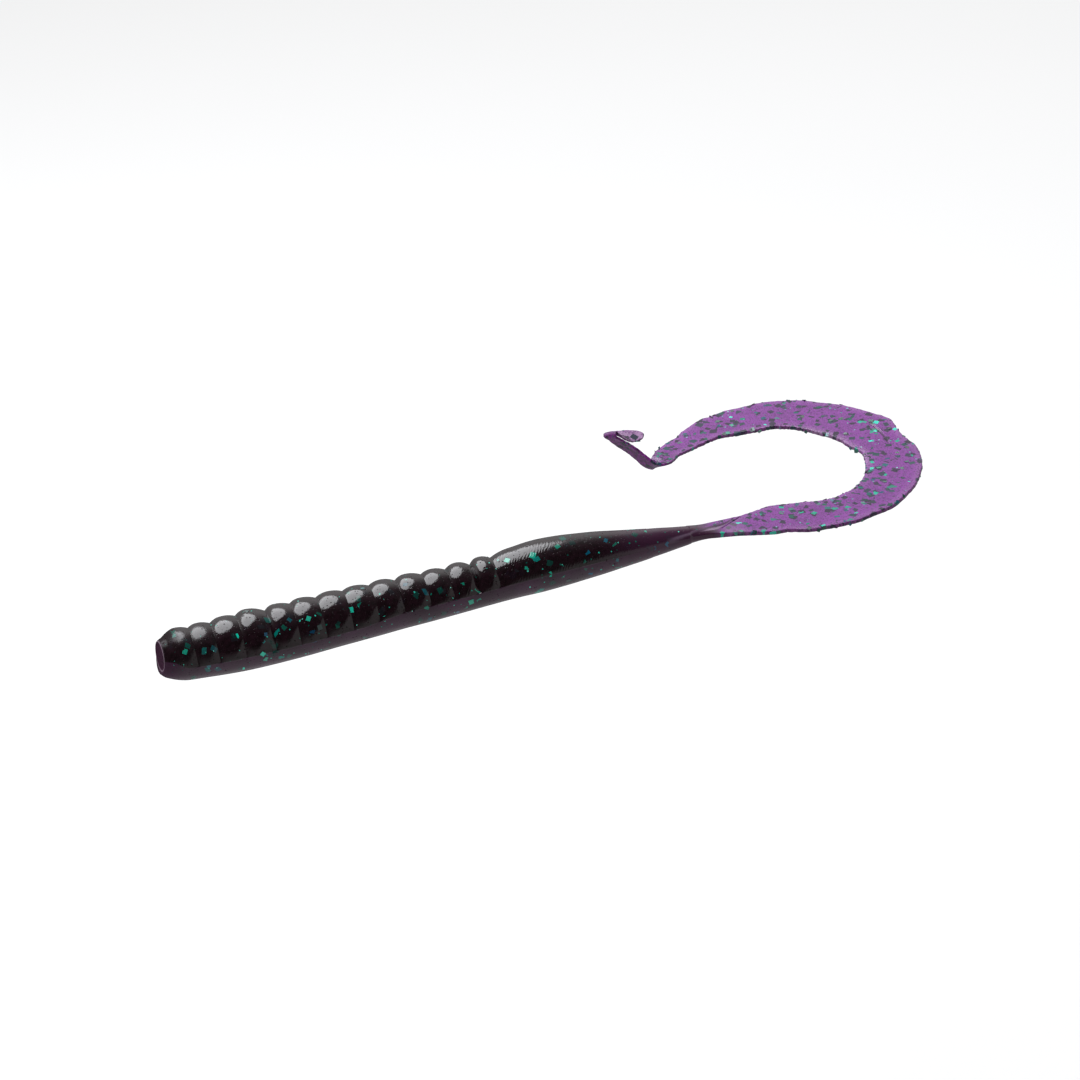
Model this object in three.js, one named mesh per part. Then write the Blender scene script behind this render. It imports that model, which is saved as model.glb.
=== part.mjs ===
// Soft plastic fishing worm: a ringed body with a smooth collar and taper, and a
// flat curly ribbon tail with a folded-back tip.
//
// The real lure is one elastic moulding. The model is split into short stiff
// links at the ring grooves and along the taper and ribbon, and each link turns
// on its neighbour.
//
// Frame: millimetres, +X from the nose to the tail along the body, +Y across
// the body (left, going from nose to tail), +Z up. The origin is the centre of
// the flat sprue dish in the nose. "along" is the length along the centreline,
// which equals X in the body.

import * as THREE from 'three';

const { degToRad, lerp, smoothstep } = THREE.MathUtils;

// ----------------------------------------------------------------- materials
const BODY_PLASTIC = { color: 0x150c14, roughness: 0.3, metalness: 0 };
const TAPER_PLASTIC = { color: 0x2c1430, roughness: 0.3, metalness: 0 };
const RIBBON_PLASTIC = { color: 0x8f4aa6, roughness: 0.35, metalness: 0 };

// ----------------------------------------------------------- body dimensions
// Grooves between rings: [x, radius at the bottom, above the parting line]
const GROOVES = [
  [5.79, 4.39], [9.73, 4.47], [14.41, 4.785], [19.76, 4.507], [24.32, 4.73],
  [29.07, 4.58], [34.01, 4.547], [38.87, 4.37], [43.65, 4.107], [48.51, 4.105],
  [52.98, 3.883], [57.58, 3.55], [61.47, 3.86],
];
// Rings from ring 2: [bulge over the line between the two grooves,
// share of the ring's length at which it is thickest]
const RINGS = [
  [0.56, 0.45], [0.65, 0.43], [0.88, 0.38], [0.71, 0.34], [0.65, 0.40], [0.59, 0.44],
  [0.55, 0.44], [0.65, 0.47], [0.73, 0.40], [0.62, 0.45], [0.90, 0.48], [0.90, 0.38],
];
const BULGE_POWER = 2.15;           // higher makes a ring flatter at its peak
const HEAD_RINGS = 7;               // of RINGS, in the head group; the rest are rear

// Links of the collar and taper: [name, x of the rear end]
const TAPER_LINKS = [
  ['collar', 69.5], ['waist', 77], ['taper_1', 84], ['taper_2', 91], ['taper_3', 97.5],
];

// Height of the centreline over the origin: [x, z]
const BODY_HEIGHT = [
  [-0.6, -0.04], [3.5, -0.56], [9, -0.92], [16, -1.05], [25, -1.12],
  [31, -0.97], [37, -0.90], [43, -0.82], [49, -0.84], [60, -0.64],
  [70, -0.23], [79.6, -0.40], [89.1, -0.85], [95.5, -1.14], [98.5, -1.24],
];
// Outer radius of the body: [x, radius]
const BODY_RADIUS = [
  [3.5, 4.76], [5.79, 4.93], [7.5, 4.99], [10.5, 5.14], [15, 5.33],
  [19, 5.32], [24.5, 5.22], [29.5, 5.15], [34.5, 5.06], [39.5, 4.96],
  [44.5, 4.82], [49.5, 4.71], [54.5, 4.61], [59.5, 4.54], [62.5, 4.56],
  [65.5, 4.66], [69.5, 4.84], [74.5, 4.64], [77.5, 4.37], [81.5, 3.97],
  [85.5, 3.43], [89.5, 2.92], [93.5, 2.35], [96.5, 2.06], [98.5, 1.99],
];
const BELLY_INSET = 0.12;           // belly below the parting line sits in
const BELLY_INSET_FADE = [72, 91];  // X range over which that inset fades out
const BELLY_LAND = 0.965;           // belly is flat below this share of its radius

// ----------------------------------------------------------- nose dimensions
const DISH_RADIUS = 2.0;            // flat floor of the sprue dish
const DISH_DEPTH = 0.14;
const DISH_YAW = 0.125;             // slopes of the dish's plane:
const DISH_PITCH = 0.103;           // it faces a little towards -Y and up
const NOSE_PITCH = 0.34;            // the rounded nose around it leans back more
const PITCH_RADII = [2.62, 3.3];    // radii between which the pitch changes
const LEAN_FADE = [0.8, 4.4];       // X ranges: the lean fades out,
const NOSE_DROP = [0.5, 4];         // the centreline takes up the body's height,
const NOSE_INSET_START = [0.2, 2.5];  // the belly inset grows
const NOSE_INSET_END = [4, 4.8];      // and fades again before the first groove
// From the dish floor to just before the first groove: [x, radius]
const NOSE_PROFILE = [
  [0, DISH_RADIUS], [-0.06, DISH_RADIUS + 0.35], [-DISH_DEPTH, DISH_RADIUS + 0.63],
  [0.1, 3.02], [0.67, 3.55], [1.16, 3.92], [1.78, 4.24], [2.44, 4.5],
  [3.15, 4.68], [4.0, 4.78], [4.8, 4.7],
];

// --------------------------------------------------------- ribbon dimensions
const ROUND_END = 91;               // round sections before here, then ellipses
const FLATTENING = [97, 107];       // ellipse turns to a rounded strip
const FLATTENING_POWER = 0.72;      // drop of the section's exponent over that
const CHAMFER_SHARE = 0.45;         // strip corner chamfer over half-thickness

// Ends of the links along the ribbon, from the tail root's to the tip flap's
const RIBBON_ENDS = [
  104.5, 111, 117.5, 124, 130.5, 137, 143.5, 150, 156.5, 163, 169.5,
  176, 182.5, 189, 195.5, 201.5, 206.5, 210.8, 216.8, 223.2, 227.7, 234,
];
// Ends at which the links swing in the ribbon's plane
const SWING_ENDS = new Set([117.5, 130.5, 143.5, 156.5, 169.5, 182.5, 195.5]);
const TIP_NAMES = ['tip_bend', 'tip_strip', 'tip_curl', 'tip_flap'];

// Half-thickness of the flattening taper and ribbon: [along, half-thickness]
const THICKNESS = [
  [91, 2.66], [93.5, 2.33], [95.5, 2.02], [97.5, 1.72], [100.5, 1.14],
  [103.5, 0.66], [106, 0.5], [109, 0.44], [112, 0.42], [190, 0.42],
  [201, 0.36], [211, 0.3], [221, 0.25], [236, 0.22],
];
// Ribbon centreline: [along, x, y, z, left x, left y, left z, half-width], where
// left is the direction of the left edge, the inside of the curl
const RIBBON = [
  [98.50, 98.50, 0.20, -1.24, -0.090, 0.996, 0.027, 1.99],
  [101.50, 102.03, 0.60, -1.63, -0.103, 0.987, 0.120, 2.06],
  [104.50, 104.99, 0.95, -2.03, -0.091, 0.981, 0.169, 2.28],
  [107.50, 107.94, 1.26, -2.46, -0.065, 0.985, 0.161, 2.73],
  [110.50, 110.90, 1.47, -2.88, -0.035, 0.989, 0.143, 3.45],
  [113.50, 113.87, 1.74, -3.22, -0.130, 0.980, 0.153, 4.20],
  [116.50, 116.83, 2.12, -3.47, -0.027, 0.991, 0.133, 4.67],
  [119.50, 119.80, 1.83, -3.73, 0.196, 0.974, 0.110, 4.93],
  [122.50, 122.74, 1.28, -3.95, 0.159, 0.981, 0.110, 5.04],
  [125.50, 125.72, 0.97, -4.11, 0.055, 0.992, 0.110, 4.95],
  [128.50, 128.71, 1.01, -4.19, -0.081, 0.991, 0.107, 4.92],
  [131.50, 131.67, 1.50, -4.19, -0.246, 0.964, 0.104, 4.93],
  [134.50, 134.49, 2.50, -4.12, -0.421, 0.902, 0.097, 5.02],
  [137.50, 137.08, 3.99, -3.99, -0.577, 0.812, 0.087, 5.08],
  [140.50, 139.38, 5.92, -3.81, -0.705, 0.705, 0.076, 5.11],
  [143.50, 141.33, 8.18, -3.59, -0.804, 0.592, 0.063, 5.19],
  [146.50, 142.94, 10.69, -3.33, -0.880, 0.472, 0.050, 5.30],
  [149.50, 144.16, 13.41, -3.05, -0.941, 0.338, 0.035, 5.34],
  [152.50, 144.96, 16.29, -2.74, -0.983, 0.184, 0.019, 5.28],
  [155.50, 145.28, 19.25, -2.42, -0.999, 0.032, 0.002, 5.13],
  [158.50, 145.19, 22.23, -2.10, -0.996, -0.086, -0.010, 5.23],
  [161.50, 144.79, 25.19, -1.78, -0.984, -0.179, -0.019, 5.67],
  [164.50, 144.06, 28.08, -1.46, -0.951, -0.307, -0.032, 6.01],
  [167.50, 142.91, 30.83, -1.16, -0.890, -0.454, -0.048, 5.96],
  [170.50, 141.36, 33.38, -0.87, -0.821, -0.568, -0.060, 5.90],
  [173.50, 139.51, 35.72, -0.61, -0.753, -0.654, -0.069, 5.79],
  [176.50, 137.42, 37.85, -0.37, -0.671, -0.737, -0.077, 5.58],
  [179.50, 135.05, 39.68, -0.17, -0.550, -0.831, -0.087, 5.49],
  [182.50, 132.41, 41.09, -0.02, -0.390, -0.916, -0.096, 5.39],
  [185.50, 129.56, 42.02, 0.08, -0.234, -0.967, -0.101, 5.31],
  [188.50, 126.61, 42.53, 0.12, -0.115, -0.988, -0.102, 5.18],
  [191.50, 123.62, 42.74, 0.11, -0.030, -0.994, -0.102, 5.02],
  [194.50, 120.62, 42.69, 0.07, 0.075, -0.992, -0.101, 4.70],
  [197.50, 117.66, 42.24, -0.01, 0.237, -0.966, -0.099, 4.16],
  [200.50, 114.83, 41.25, -0.13, 0.424, -0.900, -0.096, 3.59],
  [203.50, 112.20, 39.83, -0.25, 0.493, -0.865, -0.096, 3.08],
  [206.50, 109.57, 38.39, -0.35, 0.477, -0.872, -0.109, 2.77],
  [209.50, 107.01, 36.83, -0.41, 0.636, -0.766, -0.088, 2.46],
  [212.60, 105.10, 34.41, -0.41, 0.827, -0.554, -0.099, 2.25],
  [213.67, 104.46, 33.57, -0.61, 0.675, -0.725, 0.135, 2.22],
  [214.75, 103.57, 33.04, -0.84, 0.213, -0.899, 0.383, 2.18],
  [215.82, 102.57, 33.15, -0.65, -0.061, -0.800, 0.597, 2.12],
  [216.89, 101.78, 33.59, -0.08, 0.092, -0.781, 0.618, 2.08],
  [217.96, 101.14, 34.04, 0.65, 0.143, -0.814, 0.564, 2.03],
  [219.04, 100.50, 34.42, 1.42, 0.182, -0.837, 0.516, 1.98],
  [220.11, 99.80, 34.71, 2.18, 0.194, -0.837, 0.512, 1.92],
  [221.18, 99.05, 34.98, 2.90, 0.191, -0.830, 0.525, 1.88],
  [222.26, 98.27, 35.25, 3.58, 0.186, -0.827, 0.531, 1.84],
  [223.33, 97.48, 35.50, 4.27, 0.197, -0.833, 0.518, 1.81],
  [224.40, 96.74, 35.75, 5.00, 0.218, -0.854, 0.473, 1.79],
  [225.47, 96.05, 35.97, 5.79, 0.206, -0.893, 0.401, 1.78],
  [226.55, 95.93, 36.42, 6.46, 0.536, -0.811, 0.235, 1.79],
  [227.62, 96.84, 36.75, 6.05, 0.268, -0.959, 0.089, 1.79],
  [228.69, 97.74, 36.97, 5.52, 0.268, -0.962, 0.048, 1.78],
  [229.77, 98.70, 37.18, 5.08, 0.208, -0.976, 0.064, 1.74],
  [230.84, 99.71, 37.33, 4.76, 0.125, -0.988, 0.092, 1.67],
  [231.91, 100.76, 37.42, 4.56, 0.106, -0.989, 0.099, 1.51],
  [232.98, 101.82, 37.53, 4.42, 0.129, -0.987, 0.099, 1.18],
  [234.06, 102.87, 37.67, 4.30, 0.155, -0.983, 0.094, 0.58],
];
const POSITION_COLUMN = 1;
const LEFT_COLUMN = 4;
const HALF_WIDTH_COLUMN = 7;
const RIBBON_START = RIBBON[0][0];
const FRAME_BLEND = 5;              // length over which the sections start to turn
const TANGENT_REACH = 0.3;          // half the span a travel direction is taken over

// ------------------------------------------------------------ gaps and facets
const BODY_GAP = 0.16;                          // set back of each end of a body link
const RIBBON_GAP = BODY_GAP + 0.04;
const BEND_SLOPE = Math.tan(degToRad(5.6));     // conical ends that let links bend
const ROOT_END_SLOPE = 0.2;                     // tail root's rear end, up and down
const OPEN_SLOPE = Math.tan(degToRad(6.6));     // wedge at the outer, right edge
const CLOSE_SLOPE = Math.tan(degToRad(2.6));    // wedge at the inner, left edge
const RING_STEPS = 6;
const TAPER_STEP = 1.6;                         // target lengths of a loft step
const RIBBON_STEP = 2.2;
const TIP_STEP = 0.9;

// Angles of the points around a section: left over the top to the right, then
// back under the belly, starting and stopping short of the parting line
const HALF_AROUND = 14;
const BELLY_MARGIN = 0.05;
const halfTurn = (start, sweep) => Array.from({ length: HALF_AROUND },
  (_, i) => start + sweep * i / (HALF_AROUND - 1));
const TOP_ANGLES = halfTurn(0, Math.PI);
const BELLY_ANGLES = halfTurn(Math.PI + BELLY_MARGIN, Math.PI - 2 * BELLY_MARGIN);

// ------------------------------------------------------------------- helpers
const fade = (x, [start, end]) => smoothstep(x, start, end);

// Smooth cubic interpolation in a table whose first column is the station
function interpolate(rows, station, column = 1) {
  const last = rows.length - 1;
  if (station <= rows[0][0]) return rows[0][column];
  if (station >= rows[last][0]) return rows[last][column];
  let i = 0;
  while (station > rows[i + 1][0]) i++;
  const slope = (j) =>
    (rows[j + 1][column] - rows[j][column]) / (rows[j + 1][0] - rows[j][0]);
  const tangent = (j) => {
    if (j === 0) return slope(0);
    if (j === last) return slope(last - 1);
    return (slope(j - 1) + slope(j)) / 2;
  };
  const span = rows[i + 1][0] - rows[i][0];
  const t = (station - rows[i][0]) / span;
  const t2 = t * t;
  const t3 = t2 * t;
  return (2 * t3 - 3 * t2 + 1) * rows[i][column] +
    (t3 - 2 * t2 + t) * span * tangent(i) +
    (3 * t2 - 2 * t3) * rows[i + 1][column] +
    (t3 - t2) * span * tangent(i + 1);
}

const bodyCentre = (x) => new THREE.Vector3(x, 0, interpolate(BODY_HEIGHT, x));

const ribbonVector = (along, column) => new THREE.Vector3(
  ...[0, 1, 2].map((i) => interpolate(RIBBON, along, column + i)));

// Centreline point with the left and upward directions of the section there
function frameAt(along) {
  const left = new THREE.Vector3(0, 1, 0);
  if (along <= RIBBON_START) {
    return { centre: bodyCentre(along), left, up: new THREE.Vector3(0, 0, 1) };
  }
  const travel = ribbonVector(along + TANGENT_REACH, POSITION_COLUMN)
    .sub(ribbonVector(along - TANGENT_REACH, POSITION_COLUMN)).normalize();
  const squareLeft = () => left.addScaledVector(travel, -left.dot(travel)).normalize();
  left.copy(ribbonVector(along, LEFT_COLUMN));
  squareLeft();
  // ease from the body's upright sections into the ribbon's own directions
  const upright = 1 - smoothstep(along, RIBBON_START, RIBBON_START + FRAME_BLEND);
  travel.lerp(new THREE.Vector3(1, 0, 0), upright).normalize();
  left.lerp(new THREE.Vector3(0, 1, 0), upright);
  squareLeft();
  const up = new THREE.Vector3().crossVectors(travel, left);
  return { centre: ribbonVector(along, POSITION_COLUMN), left, up };
}

// Closed solid through a row of loops of points, with a point closing each end.
// The mesh's origin is the middle of its bounding box, to 0.01 mm.
function loft(name, loops, startPoint, endPoint, plastic) {
  const around = loops[0].length;
  const points = [startPoint, ...loops.flat(), endPoint];
  const origin = new THREE.Box3().setFromPoints(points).getCenter(new THREE.Vector3());
  origin.set(...origin.toArray().map((value) => Math.round(value * 100) / 100));
  const positions = points.flatMap((p) => [p.x - origin.x, p.y - origin.y, p.z - origin.z]);

  const faces = [];
  const at = (loop, i) => 1 + loop * around + i % around;
  for (let i = 0; i < around; i++) faces.push(0, at(0, i + 1), at(0, i));
  const last = loops.length - 1;
  for (let k = 0; k < last; k++) {
    for (let i = 0; i < around; i++) {
      faces.push(at(k, i), at(k, i + 1), at(k + 1, i + 1));
      faces.push(at(k, i), at(k + 1, i + 1), at(k + 1, i));
    }
  }
  for (let i = 0; i < around; i++) {
    faces.push(points.length - 1, at(last, i), at(last, i + 1));
  }

  const geometry = new THREE.BufferGeometry();
  geometry.setAttribute('position', new THREE.Float32BufferAttribute(positions, 3));
  geometry.setIndex(faces);
  geometry.computeVertexNormals();
  const mesh = new THREE.Mesh(geometry, new THREE.MeshStandardMaterial(plastic));
  mesh.name = name;
  mesh.position.copy(origin);
  return mesh;
}

// ------------------------------------------------------------------ sections
// Each gives an outline of [left, up] pairs, counter-clockwise seen from the tail.

// Separate radii above and below the parting line, and a belly cut flat at landUp
function roundSection(topRadius, bellyRadius, landUp = -Infinity) {
  return [
    ...TOP_ANGLES.map((a) => [topRadius * Math.cos(a), topRadius * Math.sin(a)]),
    ...BELLY_ANGLES.map((a) =>
      [bellyRadius * Math.cos(a), Math.max(bellyRadius * Math.sin(a), landUp)]),
  ];
}

// Ellipse that squares up into a rounded strip
function flatteningSection(along) {
  const halfWidth = along < RIBBON_START
    ? interpolate(BODY_RADIUS, along)
    : interpolate(RIBBON, along, HALF_WIDTH_COLUMN);
  const halfThickness = interpolate(THICKNESS, along);
  const power = 1 - FLATTENING_POWER * fade(along, FLATTENING);
  const squared = (value) => Math.sign(value) * Math.pow(Math.abs(value), power);
  return [...TOP_ANGLES, ...BELLY_ANGLES].map((a) =>
    [halfWidth * squared(Math.cos(a)), halfThickness * squared(Math.sin(a))]);
}

function bodySection(x, topRadius, landUp) {
  if (x >= ROUND_END) return flatteningSection(x);
  const radius = interpolate(BODY_RADIUS, x);
  const bellyRadius = radius - BELLY_INSET * (1 - fade(x, BELLY_INSET_FADE));
  return roundSection(topRadius ?? radius, bellyRadius, landUp);
}

// Flat strip with chamfered corners
function stripSection(along) {
  const side = interpolate(RIBBON, along, HALF_WIDTH_COLUMN);
  const top = interpolate(THICKNESS, along);
  const chamfer = top * CHAMFER_SHARE;
  return [
    [side, top - chamfer], [side - chamfer, top],
    [-side + chamfer, top], [-side, top - chamfer],
    [-side, -top + chamfer], [-side + chamfer, -top],
    [side - chamfer, -top], [side, -top + chamfer],
  ];
}

// ---------------------------------------------------------------- body links
// How far a body link's conical end is set back at a point of its section
const bodySetback = (left, up) => BODY_GAP + BEND_SLOPE * Math.hypot(left, up);

// Link along the body; sectionAt gives its outline at x and a share of its length
function bodyLink(name, from, to, steps, plastic, sectionAt) {
  const loops = [];
  for (let k = 0; k <= steps; k++) {
    const share = k / steps;
    const x = from + (to - from) * share;
    const { z } = bodyCentre(x);
    loops.push(sectionAt(x, share).map(([left, up]) => {
      const setback = bodySetback(left, up);
      return new THREE.Vector3(lerp(from + setback, to - setback, share), left, z + up);
    }));
  }
  return loft(name, loops, bodyCentre(from + BODY_GAP), bodyCentre(to - BODY_GAP), plastic);
}

// Ring between two grooves, bulging above and with a flat along its belly
function ringLink(index) {
  const [from, fromRadius] = GROOVES[index];
  const [to, toRadius] = GROOVES[index + 1];
  const [bulge, peak] = RINGS[index];
  const middle = (from + to) / 2;
  const landZ = interpolate(BODY_HEIGHT, middle) -
    (interpolate(BODY_RADIUS, middle) - BELLY_INSET) * BELLY_LAND;
  const sectionAt = (x, share) => {
    const fromPeak = share < peak ? (peak - share) / peak : (share - peak) / (1 - peak);
    const topRadius = lerp(fromRadius, toRadius, share) +
      bulge * (1 - Math.pow(fromPeak, BULGE_POWER));
    return bodySection(x, topRadius, landZ - interpolate(BODY_HEIGHT, x));
  };
  const name = `ring_${String(index + 2).padStart(2, '0')}`;
  return bodyLink(name, from, to, RING_STEPS, BODY_PLASTIC, sectionAt);
}

// Smooth link of the collar or taper
function taperLink(name, from, to) {
  const steps = Math.round((to - from) / TAPER_STEP);
  return bodyLink(name, from, to, steps, TAPER_PLASTIC, (x) => bodySection(x));
}

// The first link has a rounded nose with a flat-floored dish in its face
function noseLink() {
  const [to, grooveRadius] = GROOVES[0];
  const end = bodyCentre(to);
  const loops = NOSE_PROFILE.map(([x, radius]) => {
    const z = interpolate(BODY_HEIGHT, x) * fade(x, NOSE_DROP);
    const inset = BELLY_INSET * (fade(x, NOSE_INSET_START) - fade(x, NOSE_INSET_END));
    const lean = 1 - fade(x, LEAN_FADE);
    const pitch = lerp(DISH_PITCH, NOSE_PITCH, fade(radius, PITCH_RADII));
    return roundSection(radius, radius - inset).map(([left, up]) =>
      new THREE.Vector3(x + (up * pitch - left * DISH_YAW) * lean, left, z + up));
  });
  loops.push(bodySection(to, grooveRadius).map(([left, up]) =>
    new THREE.Vector3(to - bodySetback(left, up), left, end.z + up)));
  return loft('ring_01_nose', loops, new THREE.Vector3(), bodyCentre(to - BODY_GAP),
    BODY_PLASTIC);
}

// -------------------------------------------------------------- ribbon links
// Set back of a ribbon link's end; it widens to both edges at a swinging end
function ribbonSetback(end, left) {
  if (!SWING_ENDS.has(end)) return RIBBON_GAP;
  return RIBBON_GAP + (left > 0 ? left * CLOSE_SLOPE : -left * OPEN_SLOPE);
}

// isRoot: the first link, rounded and with sloped ends; isTip: no gap at its far end
function ribbonLink(name, from, to, stepLength, { isRoot, isTip }) {
  const steps = Math.round((to - from) / stepLength);
  const sectionAt = isRoot ? flatteningSection : stripSection;
  const loops = [];
  for (let k = 0; k <= steps; k++) {
    const share = k / steps;
    const section = sectionAt(lerp(from + RIBBON_GAP, to - RIBBON_GAP, share));
    loops.push(section.map(([left, up]) => {
      let start = from + ribbonSetback(from, left);
      let end = isTip ? to : to - ribbonSetback(to, left);
      if (isRoot) {
        start += Math.hypot(left, up) * BEND_SLOPE;
        end -= Math.abs(up) * ROOT_END_SLOPE;
      }
      const frame = frameAt(lerp(start, end, share));
      return frame.centre.addScaledVector(frame.left, left).addScaledVector(frame.up, up);
    }));
  }
  const startPoint = frameAt(from + RIBBON_GAP).centre;
  const endPoint = frameAt(isTip ? to : to - RIBBON_GAP).centre;
  return loft(name, loops, startPoint, endPoint, RIBBON_PLASTIC);
}

// ------------------------------------------------------------------ assembly
const worm = new THREE.Group();
const head = new THREE.Group();
const rear = new THREE.Group();
const tail = new THREE.Group();
worm.add(head, rear, tail);

head.add(noseLink());
RINGS.forEach((_, i) => (i < HEAD_RINGS ? head : rear).add(ringLink(i)));

let linkStart = GROOVES.at(-1)[0];
for (const [name, end] of TAPER_LINKS) {
  rear.add(taperLink(name, linkStart, end));
  linkStart = end;
}

const firstTip = RIBBON_ENDS.length - TIP_NAMES.length;
RIBBON_ENDS.forEach((end, i) => {
  const isRoot = i === 0;
  const isTip = i === RIBBON_ENDS.length - 1;
  const name = isRoot
    ? 'tail_root'
    : TIP_NAMES[i - firstTip] ?? `ribbon_${String(i).padStart(2, '0')}`;
  const stepLength = i < firstTip ? RIBBON_STEP : TIP_STEP;
  tail.add(ribbonLink(name, linkStart, end, stepLength, { isRoot, isTip }));
  linkStart = end;
});

export default worm;
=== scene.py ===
# Soft plastic fishing worm, lying along +X with its nose at x = 0 and +Z up. The ringed body
# thins into a flat ribbon tail that curls to the left (+Y), comes back towards the nose and
# turns up at its tip. The front side is -Y, the worm's right.
# One continuous skin is computed around the centreline and cut into pieces that each cross
# one joint. Lengths are in mm until the meshes are made; u is the distance along the worm.
import bpy, math
import numpy as np
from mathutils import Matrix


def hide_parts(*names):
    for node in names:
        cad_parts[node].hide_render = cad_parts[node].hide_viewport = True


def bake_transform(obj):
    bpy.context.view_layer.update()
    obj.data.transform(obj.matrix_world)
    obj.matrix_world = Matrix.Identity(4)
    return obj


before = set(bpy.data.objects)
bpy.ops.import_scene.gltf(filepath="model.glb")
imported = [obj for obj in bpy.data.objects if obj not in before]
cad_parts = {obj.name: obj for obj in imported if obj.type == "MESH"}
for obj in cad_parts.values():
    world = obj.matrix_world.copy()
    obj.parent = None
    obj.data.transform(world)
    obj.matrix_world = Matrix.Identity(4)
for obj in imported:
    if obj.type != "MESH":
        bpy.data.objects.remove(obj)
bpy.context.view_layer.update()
from types import SimpleNamespace
from mathutils import Matrix, Vector

MM = 0.001
rng = np.random.default_rng(740)

# ------------------------------------------------------------------ driving dimensions
# u of the cuts between neighbouring frame nodes
GROOVES = [5.79, 9.73, 14.41, 19.76, 24.32, 29.07, 34.01, 38.87, 43.65, 48.51, 52.98, 57.58, 61.47]
BODY_SPLITS = [69.5, 77, 84, 91, 97.5]
RIBBON_SPLITS = [104.5, 111, 117.5, 124, 130.5, 137, 143.5, 150, 156.5, 163, 169.5, 176, 182.5,
                 189, 195.5, 201.5, 206.5, 210.8, 216.8, 223.2, 227.7]
BOUNDS = GROOVES + BODY_SPLITS + RIBBON_SPLITS
NODES = (["ring_01_nose"] + ["ring_%02d" % i for i in range(2, 14)]
         + ["collar", "waist", "taper_1", "taper_2", "taper_3", "tail_root"]
         + ["ribbon_%02d" % i for i in range(1, 18)]
         + ["tip_bend", "tip_strip", "tip_curl", "tip_flap"])
TAPER_START, RIBBON_START_PIECE = 13, 19    # first pieces of the taper and ribbon materials
PATH_END = 234.0
END_ROUND = 0.9         # length of the rounded end of the tip
INSET = 0.13            # how far the lower half lies inside the upper one
SWELL = 0.02            # how far the upper half lies outside the measured radius
SHOULDER = 3.4          # u where the first groove begins to sink

# u, height of the body's centreline
HEIGHT = [
    (-0.6, -0.04), (3.5, -0.56), (9, -0.92), (16, -1.05), (25, -1.12), (31, -0.97), (37, -0.90),
    (43, -0.82), (49, -0.84), (60, -0.64), (70, -0.23), (79.6, -0.40), (89.1, -0.85),
    (95.5, -1.14), (98.5, -1.24)]
# u, body radius over the tops of the rings
RADIUS = [
    (3.5, 4.76), (5.79, 4.93), (7.5, 4.99), (10.5, 5.14), (15, 5.33), (19, 5.32), (24.5, 5.22),
    (29.5, 5.15), (34.5, 5.06), (39.5, 4.96), (44.5, 4.82), (49.5, 4.71), (54.5, 4.61),
    (59.5, 4.54), (62.5, 4.56), (65.5, 4.66), (69.5, 4.84), (74.5, 4.64), (77.5, 4.37),
    (81.5, 3.97), (85.5, 3.43), (89.5, 2.92), (93.5, 2.35), (96.5, 2.06), (98.5, 1.99)]
# radius at the bottom of each groove above the parting line, then each ring's bulge over the
# straight line between its two grooves, and where along the ring the bulge peaks
GROOVE_R = [4.39, 4.47, 4.785, 4.507, 4.73, 4.58, 4.547, 4.37, 4.107, 4.105, 3.883, 3.55, 3.86]
BULGE = [0.56, 0.65, 0.88, 0.71, 0.65, 0.59, 0.55, 0.65, 0.73, 0.62, 0.90, 0.90]
PEAK = [0.45, 0.43, 0.38, 0.34, 0.40, 0.44, 0.44, 0.47, 0.40, 0.45, 0.48, 0.38]
# u, half-thickness
THICK = [
    (91, 2.66), (93.5, 2.33), (95.5, 2.02), (97.5, 1.72), (100.5, 1.14), (103.5, 0.66),
    (106, 0.5), (109, 0.44), (112, 0.42), (190, 0.42), (201, 0.36), (211, 0.3), (221, 0.25),
    (236, 0.22)]
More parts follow.
